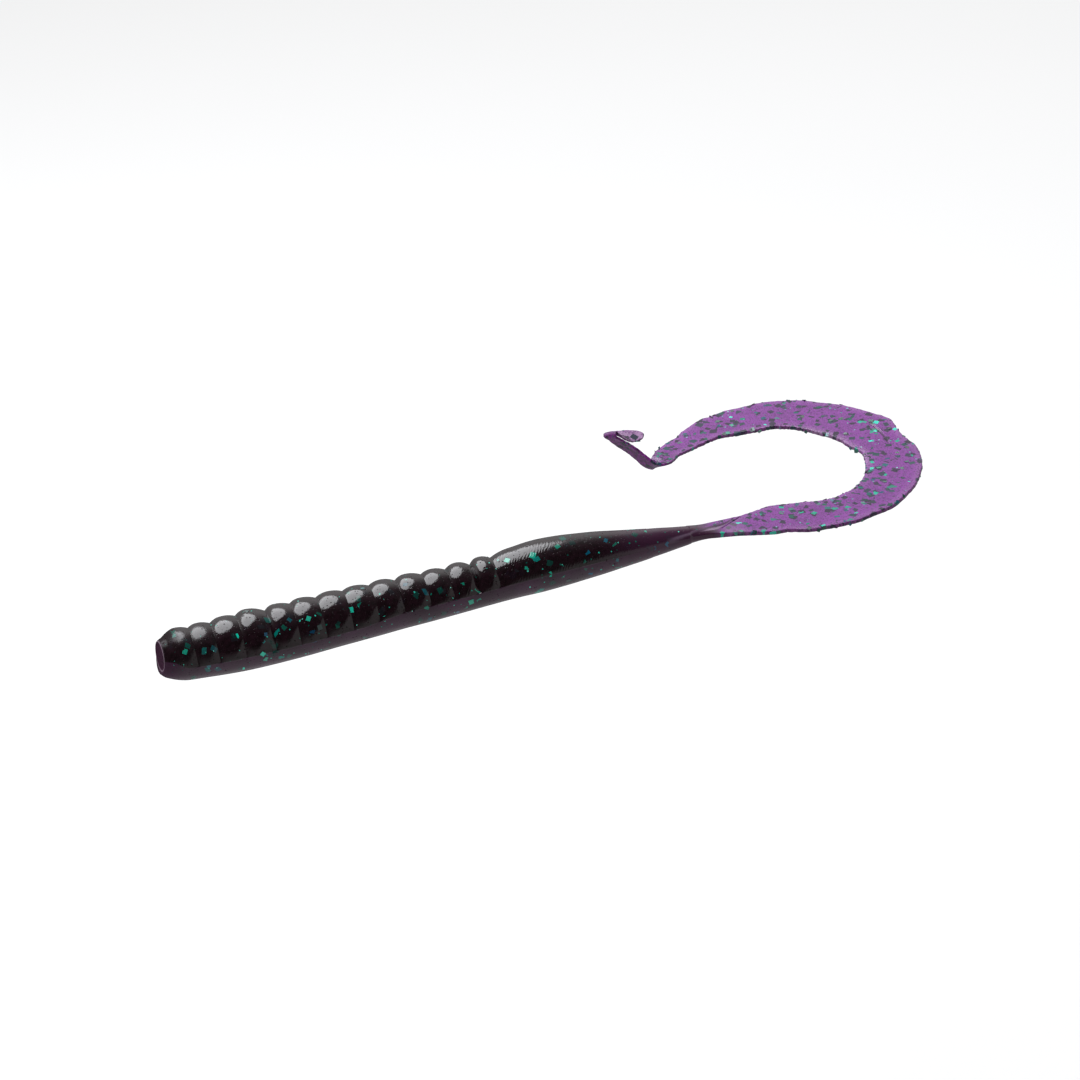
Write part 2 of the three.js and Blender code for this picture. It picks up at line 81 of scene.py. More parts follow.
# ribbon centreline: u, x, y, z, vector across to the left (x, y, z), half-width
RIBBON = [
    (98.5, 98.5, 0.2, -1.24, -0.09, 0.996, 0.027, 1.99),
    (101.5, 102.03, 0.6, -1.63, -0.103, 0.987, 0.12, 2.06),
    (104.5, 104.99, 0.95, -2.03, -0.091, 0.981, 0.169, 2.28),
    (107.5, 107.94, 1.26, -2.46, -0.065, 0.985, 0.161, 2.73),
    (110.5, 110.9, 1.47, -2.88, -0.035, 0.989, 0.143, 3.45),
    (113.5, 113.87, 1.74, -3.22, -0.13, 0.98, 0.153, 4.2),
    (116.5, 116.83, 2.12, -3.47, -0.027, 0.991, 0.133, 4.67),
    (119.5, 119.8, 1.83, -3.73, 0.196, 0.974, 0.11, 4.93),
    (122.5, 122.74, 1.28, -3.95, 0.159, 0.981, 0.11, 5.04),
    (125.5, 125.72, 0.97, -4.11, 0.055, 0.992, 0.11, 4.95),
    (128.5, 128.71, 1.01, -4.19, -0.081, 0.991, 0.107, 4.92),
    (131.5, 131.67, 1.5, -4.19, -0.246, 0.964, 0.104, 4.93),
    (134.5, 134.49, 2.5, -4.12, -0.421, 0.902, 0.097, 5.02),
    (137.5, 137.08, 3.99, -3.99, -0.577, 0.812, 0.087, 5.08),
    (140.5, 139.38, 5.92, -3.81, -0.705, 0.705, 0.076, 5.11),
    (143.5, 141.33, 8.18, -3.59, -0.804, 0.592, 0.063, 5.19),
    (146.5, 142.94, 10.69, -3.33, -0.88, 0.472, 0.05, 5.3),
    (149.5, 144.16, 13.41, -3.05, -0.941, 0.338, 0.035, 5.34),
    (152.5, 144.96, 16.29, -2.74, -0.983, 0.184, 0.019, 5.28),
    (155.5, 145.28, 19.25, -2.42, -0.999, 0.032, 0.002, 5.13),
    (158.5, 145.19, 22.23, -2.1, -0.996, -0.086, -0.01, 5.23),
    (161.5, 144.79, 25.19, -1.78, -0.984, -0.179, -0.019, 5.67),
    (164.5, 144.06, 28.08, -1.46, -0.951, -0.307, -0.032, 6.01),
    (167.5, 142.91, 30.83, -1.16, -0.89, -0.454, -0.048, 5.96),
    (170.5, 141.36, 33.38, -0.87, -0.821, -0.568, -0.06, 5.9),
    (173.5, 139.51, 35.72, -0.61, -0.753, -0.654, -0.069, 5.79),
    (176.5, 137.42, 37.85, -0.37, -0.671, -0.737, -0.077, 5.58),
    (179.5, 135.05, 39.68, -0.17, -0.55, -0.831, -0.087, 5.49),
    (182.5, 132.41, 41.09, -0.02, -0.39, -0.916, -0.096, 5.39),
    (185.5, 129.56, 42.02, 0.08, -0.234, -0.967, -0.101, 5.31),
    (188.5, 126.61, 42.53, 0.12, -0.115, -0.988, -0.102, 5.18),
    (191.5, 123.62, 42.74, 0.11, -0.03, -0.994, -0.102, 5.02),
    (194.5, 120.62, 42.69, 0.07, 0.075, -0.992, -0.101, 4.7),
    (197.5, 117.66, 42.24, -0.01, 0.237, -0.966, -0.099, 4.16),
    (200.5, 114.83, 41.25, -0.13, 0.424, -0.9, -0.096, 3.59),
    (203.5, 112.2, 39.83, -0.25, 0.493, -0.865, -0.096, 3.08),
    (206.5, 109.57, 38.39, -0.35, 0.477, -0.872, -0.109, 2.77),
    (209.5, 107.01, 36.83, -0.41, 0.636, -0.766, -0.088, 2.46),
    (212.6, 105.1, 34.41, -0.41, 0.827, -0.554, -0.099, 2.25),
    (213.67, 104.46, 33.57, -0.61, 0.675, -0.725, 0.135, 2.22),
    (214.75, 103.57, 33.04, -0.84, 0.213, -0.899, 0.383, 2.18),
    (215.82, 102.57, 33.15, -0.65, -0.061, -0.8, 0.597, 2.12),
    (216.89, 101.78, 33.59, -0.08, 0.092, -0.781, 0.618, 2.08),
    (217.96, 101.14, 34.04, 0.65, 0.143, -0.814, 0.564, 2.03),
    (219.04, 100.5, 34.42, 1.42, 0.182, -0.837, 0.516, 1.98),
    (220.11, 99.8, 34.71, 2.18, 0.194, -0.837, 0.512, 1.92),
    (221.18, 99.05, 34.98, 2.9, 0.191, -0.83, 0.525, 1.88),
    (222.26, 98.27, 35.25, 3.58, 0.186, -0.827, 0.531, 1.84),
    (223.33, 97.48, 35.5, 4.27, 0.197, -0.833, 0.518, 1.81),
    (224.4, 96.74, 35.75, 5.0, 0.218, -0.854, 0.473, 1.79),
    (225.47, 96.05, 35.97, 5.79, 0.206, -0.893, 0.401, 1.78),
    (226.55, 95.93, 36.42, 6.46, 0.536, -0.811, 0.235, 1.79),
    (227.62, 96.84, 36.75, 6.05, 0.268, -0.959, 0.089, 1.79),
    (228.69, 97.74, 36.97, 5.52, 0.1, -0.985, -0.05, 1.78),
    (229.77, 98.7, 37.18, 5.08, -0.04, -0.975, -0.2, 1.74),
    (230.84, 99.71, 37.33, 4.76, -0.13, -0.935, -0.33, 1.67),
    (231.91, 100.76, 37.42, 4.56, -0.18, -0.905, -0.385, 1.51),
    (232.98, 101.82, 37.53, 4.42, -0.18, -0.905, -0.385, 1.18),
    (234.06, 102.87, 37.67, 4.3, -0.18, -0.905, -0.385, 0.58)]
RIBBON_START = RIBBON[0][0]
# half-widths to the ribbon's outer (right) and inner (left) edge, every 1.5 mm from u = 114.5
EDGE = [(114.5 + 1.5 * i, outer, inner) for i, (outer, inner) in enumerate([
    (3.46, 5.59), (4.18, 5.23), (4.57, 4.93), (4.87, 4.84), (5.24, 4.88), (5.43, 4.91),
    (5.18, 4.89), (5.04, 4.81), (4.99, 4.77), (5.04, 4.77), (5.14, 4.77), (4.99, 4.79),
    (4.93, 4.89), (5.09, 4.93), (5.27, 4.92), (5.30, 4.91), (5.21, 4.93), (5.19, 4.92),
    (5.26, 5.02), (5.30, 5.06), (5.29, 5.11), (5.35, 5.22), (5.46, 5.26), (5.46, 5.27),
    (5.46, 5.25), (5.44, 5.17), (5.45, 5.11), (5.35, 4.97), (4.99, 4.92), (4.86, 5.32),
    (4.96, 5.65), (5.29, 5.86), (5.88, 5.88), (6.49, 5.82), (6.39, 5.82), (6.07, 5.85),
    (5.87, 5.84), (5.85, 5.98), (5.85, 6.05), (5.82, 5.91), (5.64, 5.78), (5.46, 5.67),
    (5.46, 5.53), (5.62, 5.39), (5.76, 5.24), (5.62, 5.18), (5.55, 5.12), (5.53, 5.07),
    (5.52, 5.15), (5.26, 5.21), (4.99, 5.18), (5.01, 5.07), (5.14, 4.99), (4.77, 4.95),
    (4.38, 4.58), (4.49, 4.18), (4.06, 3.83), (3.63, 3.64), (3.47, 3.43), (3.07, 3.17),
    (2.65, 3.02), (2.60, 3.03), (2.53, 2.95), (2.46, 2.70), (2.36, 2.38), (2.28, 2.28),
    (2.22, 2.22)])]
# x, radius of the nose from the centre of the sprue dish to the first ring
NOSE = np.array([
    (0.0, 0.0), (0.0, 1.0), (0.0, 1.8), (0.0, 2.0), (-0.01, 2.18), (-0.06, 2.35), (-0.115, 2.5),
    (-0.14, 2.63), (-0.08, 2.8), (0.10, 3.02), (0.38, 3.3), (0.67, 3.55), (1.16, 3.92),
    (1.78, 4.24), (2.44, 4.5), (3.15, 4.68), (4.0, 4.81), (5.0, 4.885)])
DISH_YAW, DISH_PITCH, CONE_PITCH = 0.125, 0.103, 0.34    # slopes of the dish and round its rim
# seam of the two mould halves sweeping over the taper: u, place across in half-widths
SEAM = [(92, -1.08), (94, -0.98), (96.3, -0.93), (98.3, -0.86), (100.5, -0.57), (102.6, -0.08),
        (104.2, 0.15), (105.6, 0.32), (107, 0.62), (109, 1.08)]
# u, height of the step at the seam
STEP = [(90.5, 0), (93, 0.09), (97.5, 0.13), (100.5, 0.24), (103.5, 0.34), (106, 0.24),
        (108.5, 0.08), (110.5, 0)]
# crease where the near half runs out behind the seam: u, place across in half-widths
NOTCH = [(98.5, -0.92), (101, -0.72), (103, -0.46), (104.8, -0.09), (106.7, 0.39), (108.6, 0.72),
         (110.5, 1.05)]
# thumbnail crease pressed in the curl: u, place across
FOLD = [(157.0, -0.95), (158.3, -1.2), (159.5, -1.45), (160.6, -1.68), (161.8, -1.88),
        (163.2, -2.08), (164.2, -2.25), (165.2, -2.36)]
# soft waves of the thin ribbon: period, phase, twist; then its ragged edges: period, phase
WAVES = [(rng.uniform(5, 14), rng.uniform(0, 6.28), rng.uniform(-.6, .6)) for _ in range(7)]
RAGGED = [(rng.uniform(0.7, 3.2), rng.uniform(0, 6.28)) for _ in range(26)]


# ------------------------------------------------------------------ curves
def hermite(t, start, end, start_slope, end_slope):
    return ((2 * t**3 - 3 * t**2 + 1) * start + (t**3 - 2 * t**2 + t) * start_slope
            + (3 * t**2 - 2 * t**3) * end + (t**3 - t**2) * end_slope)


def table(rows, u, col=1):
    """smooth curve through one column of a table"""
    last = len(rows) - 1
    if u <= rows[0][0]:
        return rows[0][col]
    if u >= rows[last][0]:
        return rows[last][col]
    i = 0
    while u > rows[i + 1][0]:
        i += 1

    def slope(j):
        return (rows[j + 1][col] - rows[j][col]) / (rows[j + 1][0] - rows[j][0])

    def tangent(j):
        return (slope(max(j - 1, 0)) + slope(min(j, last - 1))) / 2

    gap = rows[i + 1][0] - rows[i][0]
    return hermite((u - rows[i][0]) / gap, rows[i][col], rows[i + 1][col],
                   gap * tangent(i), gap * tangent(i + 1))


def lerp_table(rows, u):
    return np.interp(u, *np.array(rows, float).T)


def smooth(start, end, x):
    t = np.clip((np.asarray(x, float) - start) / (end - start), 0, 1)
    return t * t * (3 - 2 * t)


def band(u, rise_start, rise_end, fall_start, fall_end):
    """1 along a stretch of the worm, fading to 0 at both ends"""
    return smooth(rise_start, rise_end, u) * (1 - smooth(fall_start, fall_end, u))


def bump_at(x, width, power=2):
    return np.exp(-(x / width) ** power)


def unit(v):
    return v / np.linalg.norm(v)


def frame_at(u):
    """centre, direction along, direction across to the left, and up"""
    along, across = np.array([1., 0, 0]), np.array([0, 1., 0])
    if u <= RIBBON_START:
        return np.array([u, 0, table(HEIGHT, u)]), along, across, np.array([0, 0, 1.])

    def centre(v):
        return np.array([table(RIBBON, v, col) for col in (1, 2, 3)])

    path = unit(centre(u + .3) - centre(u - .3))
    width = np.array([table(RIBBON, u, col) for col in (4, 5, 6)])
    width = unit(width - path * (width @ path))
    k = smooth(RIBBON_START, RIBBON_START + 5, u)
    along = unit(path * k + along * (1 - k))
    across = width * k + across * (1 - k)
    across = unit(across - along * (across @ along))
    return centre(u), along, across, np.cross(along, across)


def half_width(u):
    return table(RADIUS, u) if u < RIBBON_START else table(RIBBON, u, 7)


def edge_half(u, col):
    """half-width to one side; col is 1 for the outer (right) edge, 2 for the inner"""
    half = half_width(u)
    if u < 114:
        return half
    k = band(u, 114, 121, 204, 208)
    return half * (1 - k) + table(EDGE, u, col) * k


# ------------------------------------------------------------------ stations along
def fill(start, end, step):
    count = max(2, math.ceil((end - start) / step))
    return list(np.linspace(start, end, count + 1)[:-1])


MIDS = [(a + b) / 2 for a, b in zip(BOUNDS[:-1], BOUNDS[1:])]
# end of a zone, station spacing in it
SPACING = [(61.5, 0.15), (70, 0.2), (99, 0.26), (208, 0.28), (PATH_END - END_ROUND, 0.2),
           (PATH_END, 0.07)]
keys = sorted([5.0] + BOUNDS + MIDS + [PATH_END - END_ROUND, PATH_END])
STATIONS = [g + side for g in GROOVES for side in (-0.014, 0.014)] + [PATH_END]
for a, b in zip(keys[:-1], keys[1:]):
    STATIONS += fill(a, b, next(step for limit, step in SPACING if b <= limit))
STATIONS = np.array(sorted(STATIONS))

nose_points = []
for i in range(len(NOSE) - 1):
    before, p, q, after = NOSE[max(i - 1, 0)], NOSE[i], NOSE[i + 1], NOSE[min(i + 2, len(NOSE) - 1)]
    n = max(2, int(np.linalg.norm(q - p) / 0.13))
    nose_points += [hermite(k / n, p, q, (q - before) / 2, (after - p) / 2) for k in range(n)]
nose_points = np.array(nose_points)
NOSE_COUNT = len(nose_points)

# ------------------------------------------------------------------ points around
# counted from the bottom middle: right edge, top, left edge and back; a wall joins the halves
QUARTER, WALL = 36, 4
AROUND = 4 * QUARTER + 2 * WALL
RIGHT_LOW, RIGHT_TOP = QUARTER, QUARTER + WALL
TOP_MID = RIGHT_TOP + QUARTER
LEFT_TOP = TOP_MID + QUARTER
LEFT_LOW = LEFT_TOP + WALL
TOP = slice(RIGHT_TOP, LEFT_TOP + 1)
WALL_ANGLE = math.radians(0.8)
UPPER = np.interp(range(AROUND), (RIGHT_LOW, RIGHT_TOP, LEFT_TOP, LEFT_LOW), (0, 1, 1, 0))
LOWER = 1 - UPPER


def angles(ledge):
    """angle of each point, 0 at the right edge, 90 degrees on top"""
    right, left = -ledge, math.pi + ledge
    return np.interp(range(AROUND), (0, RIGHT_LOW, RIGHT_TOP, LEFT_TOP, LEFT_LOW, AROUND),
                     (-math.pi / 2, right - WALL_ANGLE, right + WALL_ANGLE,
                      left - WALL_ANGLE, left + WALL_ANGLE, 1.5 * math.pi))


def ledge_drop(u):
    """the parting line dips below the widest line on the front rings"""
    return 0.85 * band(u, 0.8, 5, 33, 44)


def groove_depth(u):
    """depth of the rings' profile below the smooth envelope"""
    envelope = table(RADIUS, u) + SWELL
    if u <= SHOULDER:
        return 0.0
    if u < GROOVES[0]:
        s = (u - SHOULDER) / (GROOVES[0] - SHOULDER)
        return (table(RADIUS, GROOVES[0]) + SWELL - GROOVE_R[0]) * s ** 2.2
    if u >= GROOVES[-1]:
        s = max(0.0, 1 - (u - GROOVES[-1]) / 3.6)
        return (table(RADIUS, GROOVES[-1]) + SWELL - GROOVE_R[-1]) * s ** 2.2
    i = max(k for k in range(len(GROOVES)) if GROOVES[k] <= u)
    t = (u - GROOVES[i]) / (GROOVES[i + 1] - GROOVES[i])
    s = (PEAK[i] - t) / PEAK[i] if t < PEAK[i] else (t - PEAK[i]) / (1 - PEAK[i])
    return envelope - (GROOVE_R[i] * (1 - t) + GROOVE_R[i + 1] * t + BULGE[i] * (1 - s ** 2.15))


def hull_outline(u, radius):
    """across and up of the round body"""
    ledge = math.asin(min(0.3, ledge_drop(u) / max(radius, 1.0)))
    angle = angles(ledge)
    depth = groove_depth(u)
    fade = 1 - smooth(70, 88, u)
    # grooves run out to shallow scores just above the ledge
    above = np.degrees(np.minimum(np.abs(angle + ledge), np.abs(math.pi + ledge - angle)))
    runout = 0.6 * max(depth, 0.0) * bump_at(above, 11.0, 1.5) * smooth(SHOULDER, 5.4, u)
    upper = radius + SWELL * fade * smooth(2, 4, u) - depth + runout
    lower = radius - INSET * fade * smooth(2.6, 6.5, u)
    r = upper * UPPER + lower * LOWER
    return -r * np.cos(angle), r * np.sin(angle)


def strip(u, thick):
    """flat ribbon with rounded edges: across, up, half-widths to the right and left"""
    right, left = edge_half(u, 1), edge_half(u, 2)
    rest = PATH_END - u
    if rest < END_ROUND:
        narrow = math.sqrt(max(0.02, 1 - (1 - rest / END_ROUND) ** 2))
        right, left = right * narrow, left * narrow
        thick *= max(0.25, math.sqrt(1 - (1 - min(1, rest / 0.25)) ** 2))
    r = min(0.26, 0.62 * thick, 0.5 * min(right, left))
    arc_steps = 6
    flat_steps = QUARTER - arc_steps
    arc = np.linspace(0, math.pi / 2, arc_steps + 1)
    flat = np.linspace(0, 1, flat_steps + 1)[:-1]

    def face(half):
        return np.r_[flat * (half - r), half - r + r * np.sin(arc)]

    to_right, to_left = face(right), face(left)
    height = np.r_[np.full(flat_steps, thick), thick - r + r * np.cos(arc)]
    wall = np.linspace(-(thick - r), thick - r, WALL + 1)[1:-1]
    side = np.ones(WALL - 1)
    across = np.r_[-to_right, -right * side, -to_right[::-1],
                   to_left[1:], left * side, to_left[:0:-1]]
    up = np.r_[-height, wall, height[::-1], height[1:], -wall, -height[:0:-1]]
    return across, up, right, left


def add_seam(u, across, up, sheen_and_crease_shade):
    """the step and crease of the mould seam over the taper, with painted highlights along the seam
    and painted shade in the crease
    """
    half = half_width(u)
    top = across[TOP]
    seam, crease = lerp_table(SEAM, u) * half, lerp_table(NOTCH, u) * half
    beyond = np.clip((top - seam) / max(half - seam, 0.05), 0, 1)
    up[TOP] += lerp_table(STEP, u) * smooth(seam - 0.07, seam + 0.07, top) * (1 - beyond ** 3)
    creased = band(u, 103.6, 105.0, 109.2, 110.4)
    up[TOP] -= 0.13 * creased * bump_at(top - crease, 0.12)
    # painted highlights: a sliver between the crease and the seam, a pale triangle on the near side
    # of the crease and a hairline along the seam; painted shade in the crease
    sliver = (smooth(crease, crease + 0.15, top) * (1 - smooth(seam, seam + 0.2, top))
              * band(u, 99.5, 102, 106.4, 108.6))
    triangle = (1 - smooth(crease - 0.1, crease, top)) * band(u, 104.2, 105.2, 106.5, 110.4)
    hairline = bump_at(top - seam - 0.05, 0.11) * band(u, 93, 96, 100, 103)
    sheen_and_crease_shade[TOP] = (np.clip(sliver + 0.5 * triangle + 0.5 * hairline, 0, 1)
                - 0.95 * creased * bump_at(top - crease, 0.13))


def add_waves(u, across, up, right, left):
    """soft waves, a slight dish across, and ragged trimmed edges"""
    grow = smooth(104, 116, u)
    up += grow * 0.016 * sum(math.sin(u * 6.283 / period + phase) * (1 + twist * across / 5)
                             for period, phase, twist in WAVES)
    half = max(0.5 * (right + left), 0.5)
    up += grow * 0.05 * (np.abs(across) / half) ** 2 * (1 - smooth(205, 215, u))
    if u < PATH_END - 1.5:
        rag_right, rag_left = (
            size * sum(math.sin(u * 6.283 / period + phase) for period, phase in rows)
            for rows, size in ((RAGGED[:13], 0.014), (RAGGED[13:], 0.018)))
        near_edge = smooth(0.55, 1.0, np.abs(across) / np.where(across < 0, right, left))
        across += grow * near_edge * np.where(across < 0, -rag_right, rag_left)


def add_fold(u, across, up, sheen_and_crease_shade):
    """the thumbnail crease and the slight ridge beside it, with painted shade in the crease"""
    off = across[TOP] - lerp_table(FOLD, u)
    ends = band(u, 156.2, 158.2, 164.2, 166)
    up[TOP] += ends * (-0.24 * bump_at(off, 0.15) + 0.09 * bump_at(off + 0.45, 0.4))
    # painted shade along the crease
    sheen_and_crease_shade[TOP] = -ends * bump_at(off, 0.16)


def section(u):
    """across, up, half-widths right and left, mask of painted sheen and crease shade, and how far
    it is a strip
    """
    right = left = half = half_width(u)
    blend = smooth(97, 107, u)
    across = up = 0.0
    if u < 107:
        across, up = hull_outline(u, half)
        up = up * (1.0 if u < 91 else table(THICK, u) / half)
    if u > 97:
        strip_across, strip_up, right, left = strip(u, table(THICK, u))
        across = across * (1 - blend) + strip_across * blend
        up = up * (1 - blend) + strip_up * blend
    sheen_and_crease_shade = np.zeros(AROUND)
    if 90.5 < u < 110.5:
        add_seam(u, across, up, sheen_and_crease_shade)
    if u > 104:
        add_waves(u, across, up, right, left)
    if 154 < u < 168:
        add_fold(u, across, up, sheen_and_crease_shade)
    return across, up, right, left, sheen_and_crease_shade, blend


# ------------------------------------------------------------------ the skin
# how the walls' duller colour, painted shade here, fades over the top face, point by point
WALL_SHADE_FADE = np.array([0.9, 0.86, 0.8, 0.72, 0.63, 0.54, 0.45, 0.37, 0.29, 0.22, 0.16, 0.1, 0.06,
                      0.03])


def wall_tone_and_shade_mask(across_y):
    """edge walls in a duller colour, partly the thick plastic seen edge-on and partly painted
    shade, strongest where they face the front (-Y)
    """
    wall = np.zeros(AROUND)
    front = np.clip(0.5 + 1.1 * across_y, 0, 1)
    for edge, run, facing, span in (
            (RIGHT_TOP, 1, front, slice(RIGHT_LOW - 3, RIGHT_TOP + 1)),
            (LEFT_TOP, -1, 1 - front, slice(LEFT_TOP, LEFT_LOW + 4))):
        wall[span] = 0.35 + 0.65 * facing
        index = edge + run * np.arange(len(WALL_SHADE_FADE))
        wall[index] = np.maximum(wall[index], WALL_SHADE_FADE * facing)
    return wall


def nose_row(x, radius):
    """points and masks of one ring of the nose, leaning with the sprue dish"""
    y, up = hull_outline(x, radius)
    lean = 1 - smooth(0.8, 4.4, x)
    pitch = DISH_PITCH + (CONE_PITCH - DISH_PITCH) * smooth(2.62, 3.3, radius)
    z = table(HEIGHT, x) * smooth(0.5, 4, x) + up
    dish = float(radius < 2.6 and x < 0.1)
    # painted highlight round the edge of the sprue dish
    rim_sheen = bump_at(radius - 2.66, 0.09) if x < 0.1 else 0.0
    zero = np.zeros(AROUND)
    return (np.stack([x - y * DISH_YAW * lean + up * pitch * lean, y, z], 1),
            np.stack([zero, zero, LOWER], 1), np.stack([zero + dish, zero, zero + rim_sheen], 1))


def body_row(u, centre, across_dir, up_dir):
    """points and masks of one ring of the body or ribbon"""
    across, up, right, left, sheen_and_crease_shade, blend = section(u)
    beyond = smooth(-0.25, 0.25, across - lerp_table(SEAM, u) * right)
    near = 0.45 * smooth(76, 96, u) + 0.55 * smooth(100.5, 107, u)
    far = 0.45 * smooth(76, 94, u) + 0.55 * smooth(98.5, 104.5, u)
    thin = near * (1 - beyond) + far * beyond
    inner = smooth(left - 2.2, left - 0.2, across) * blend
    outer = smooth(right - 2.0, right - 0.2, -across) * blend
    frost = smooth(left - 1.5, left - 0.2, across) * blend * band(u, 146, 152, 170, 178)
    return (centre + across[:, None] * across_dir + up[:, None] * up_dir,
            np.stack([thin, wall_tone_and_shade_mask(across_dir[1]) * blend, LOWER], 1),
            np.stack([frost, np.maximum(inner, outer), sheen_and_crease_shade], 1))


frames = [frame_at(u) for u in STATIONS]
rows = [nose_row(x, radius) for x, radius in nose_points]
rows += [body_row(u, centre, across, up) for u, (centre, _, across, up) in zip(STATIONS, frames)]
# SKIN points by row and place around; MASK_A is thin, wall (its tone and painted shade), belly;
# MASK_B is frost, edge, and painted sheen and crease shade
SKIN, MASK_A, MASK_B = (np.array(part) for part in zip(*rows))
ROWS = len(SKIN)
ROW_U = np.r_[nose_points[:, 0], STATIONS]


def face_spans():
    """distance around, both faces measured from their own middle"""
    gap = np.linalg.norm(np.roll(SKIN, -1, axis=1) - SKIN, axis=2)

    def back_sum(part):
        return np.cumsum(part[:, ::-1], 1)[:, ::-1]

    span = np.zeros((ROWS, AROUND))
    span[:, TOP_MID + 1:LEFT_TOP + 1] = np.cumsum(gap[:, TOP_MID:LEFT_TOP], 1)
    span[:, RIGHT_TOP:TOP_MID] = -back_sum(gap[:, RIGHT_TOP:TOP_MID])
    span[:, 1:RIGHT_LOW + 1] = -np.cumsum(gap[:, :RIGHT_LOW], 1)
    span[:, LEFT_LOW:] = back_sum(gap[:, LEFT_LOW:])
    for q in range(1, WALL):
        f = q / WALL
        for start, end in ((RIGHT_LOW, RIGHT_TOP), (LEFT_TOP, LEFT_LOW)):
            span[:, start + q] = span[:, start] * (1 - f) + span[:, end] * f
    return span


def flat_pattern():
    """the skin developed flat: x, y for the textures, and u"""
    span = face_spans()
    pattern = np.zeros((ROWS, AROUND, 3))
    heading, centre = 0.0, np.array([STATIONS[0], 0.0])
    for i in range(NOSE_COUNT):
        # unrolled round the nose: distance along the profile
        length = np.linalg.norm(np.diff(nose_points[i:], axis=0), axis=1).sum()
        pattern[i, :, 0] = STATIONS[0] - length - 0.15
        pattern[i, :, 1] = span[i]
    for i in range(len(STATIONS)):
        if i:
            heading += (frames[i][1] - frames[i - 1][1]) @ frames[i][2]
            run = STATIONS[i] - STATIONS[i - 1]
            centre = centre + np.array([math.cos(heading), math.sin(heading)]) * run
        row = NOSE_COUNT + i
        pattern[row, :, 0] = centre[0] - math.sin(heading) * span[row]
        pattern[row, :, 1] = centre[1] + math.cos(heading) * span[row]
    pattern[:, :, 2] = ROW_U[:, None]
    return pattern


def skin_normals():
    """smooth normals of the whole skin, so pieces shade as one"""
    around = np.roll(SKIN, -1, axis=1) - np.roll(SKIN, 1, axis=1)
    normal = np.cross(np.gradient(SKIN, axis=0), around)
    size = np.linalg.norm(normal, axis=2, keepdims=True)
    forward = np.array([-1.0, 0, 0])
    normal = np.where(size > 1e-9, normal / np.maximum(size, 1e-9), forward)
    normal[0, :] = forward
    return normal


PATTERN = flat_pattern()
NORMALS = skin_normals()


# ------------------------------------------------------------------ shader helpers
def srgb(*rgb):
    def linear(c):
        return c / 12.92 if c <= 0.04045 else ((c + 0.055) / 1.055) ** 2.4
    return (*(linear(c / 255) for c in rgb), 1.0)


def grey(value):
    return (value, value, value, 1)


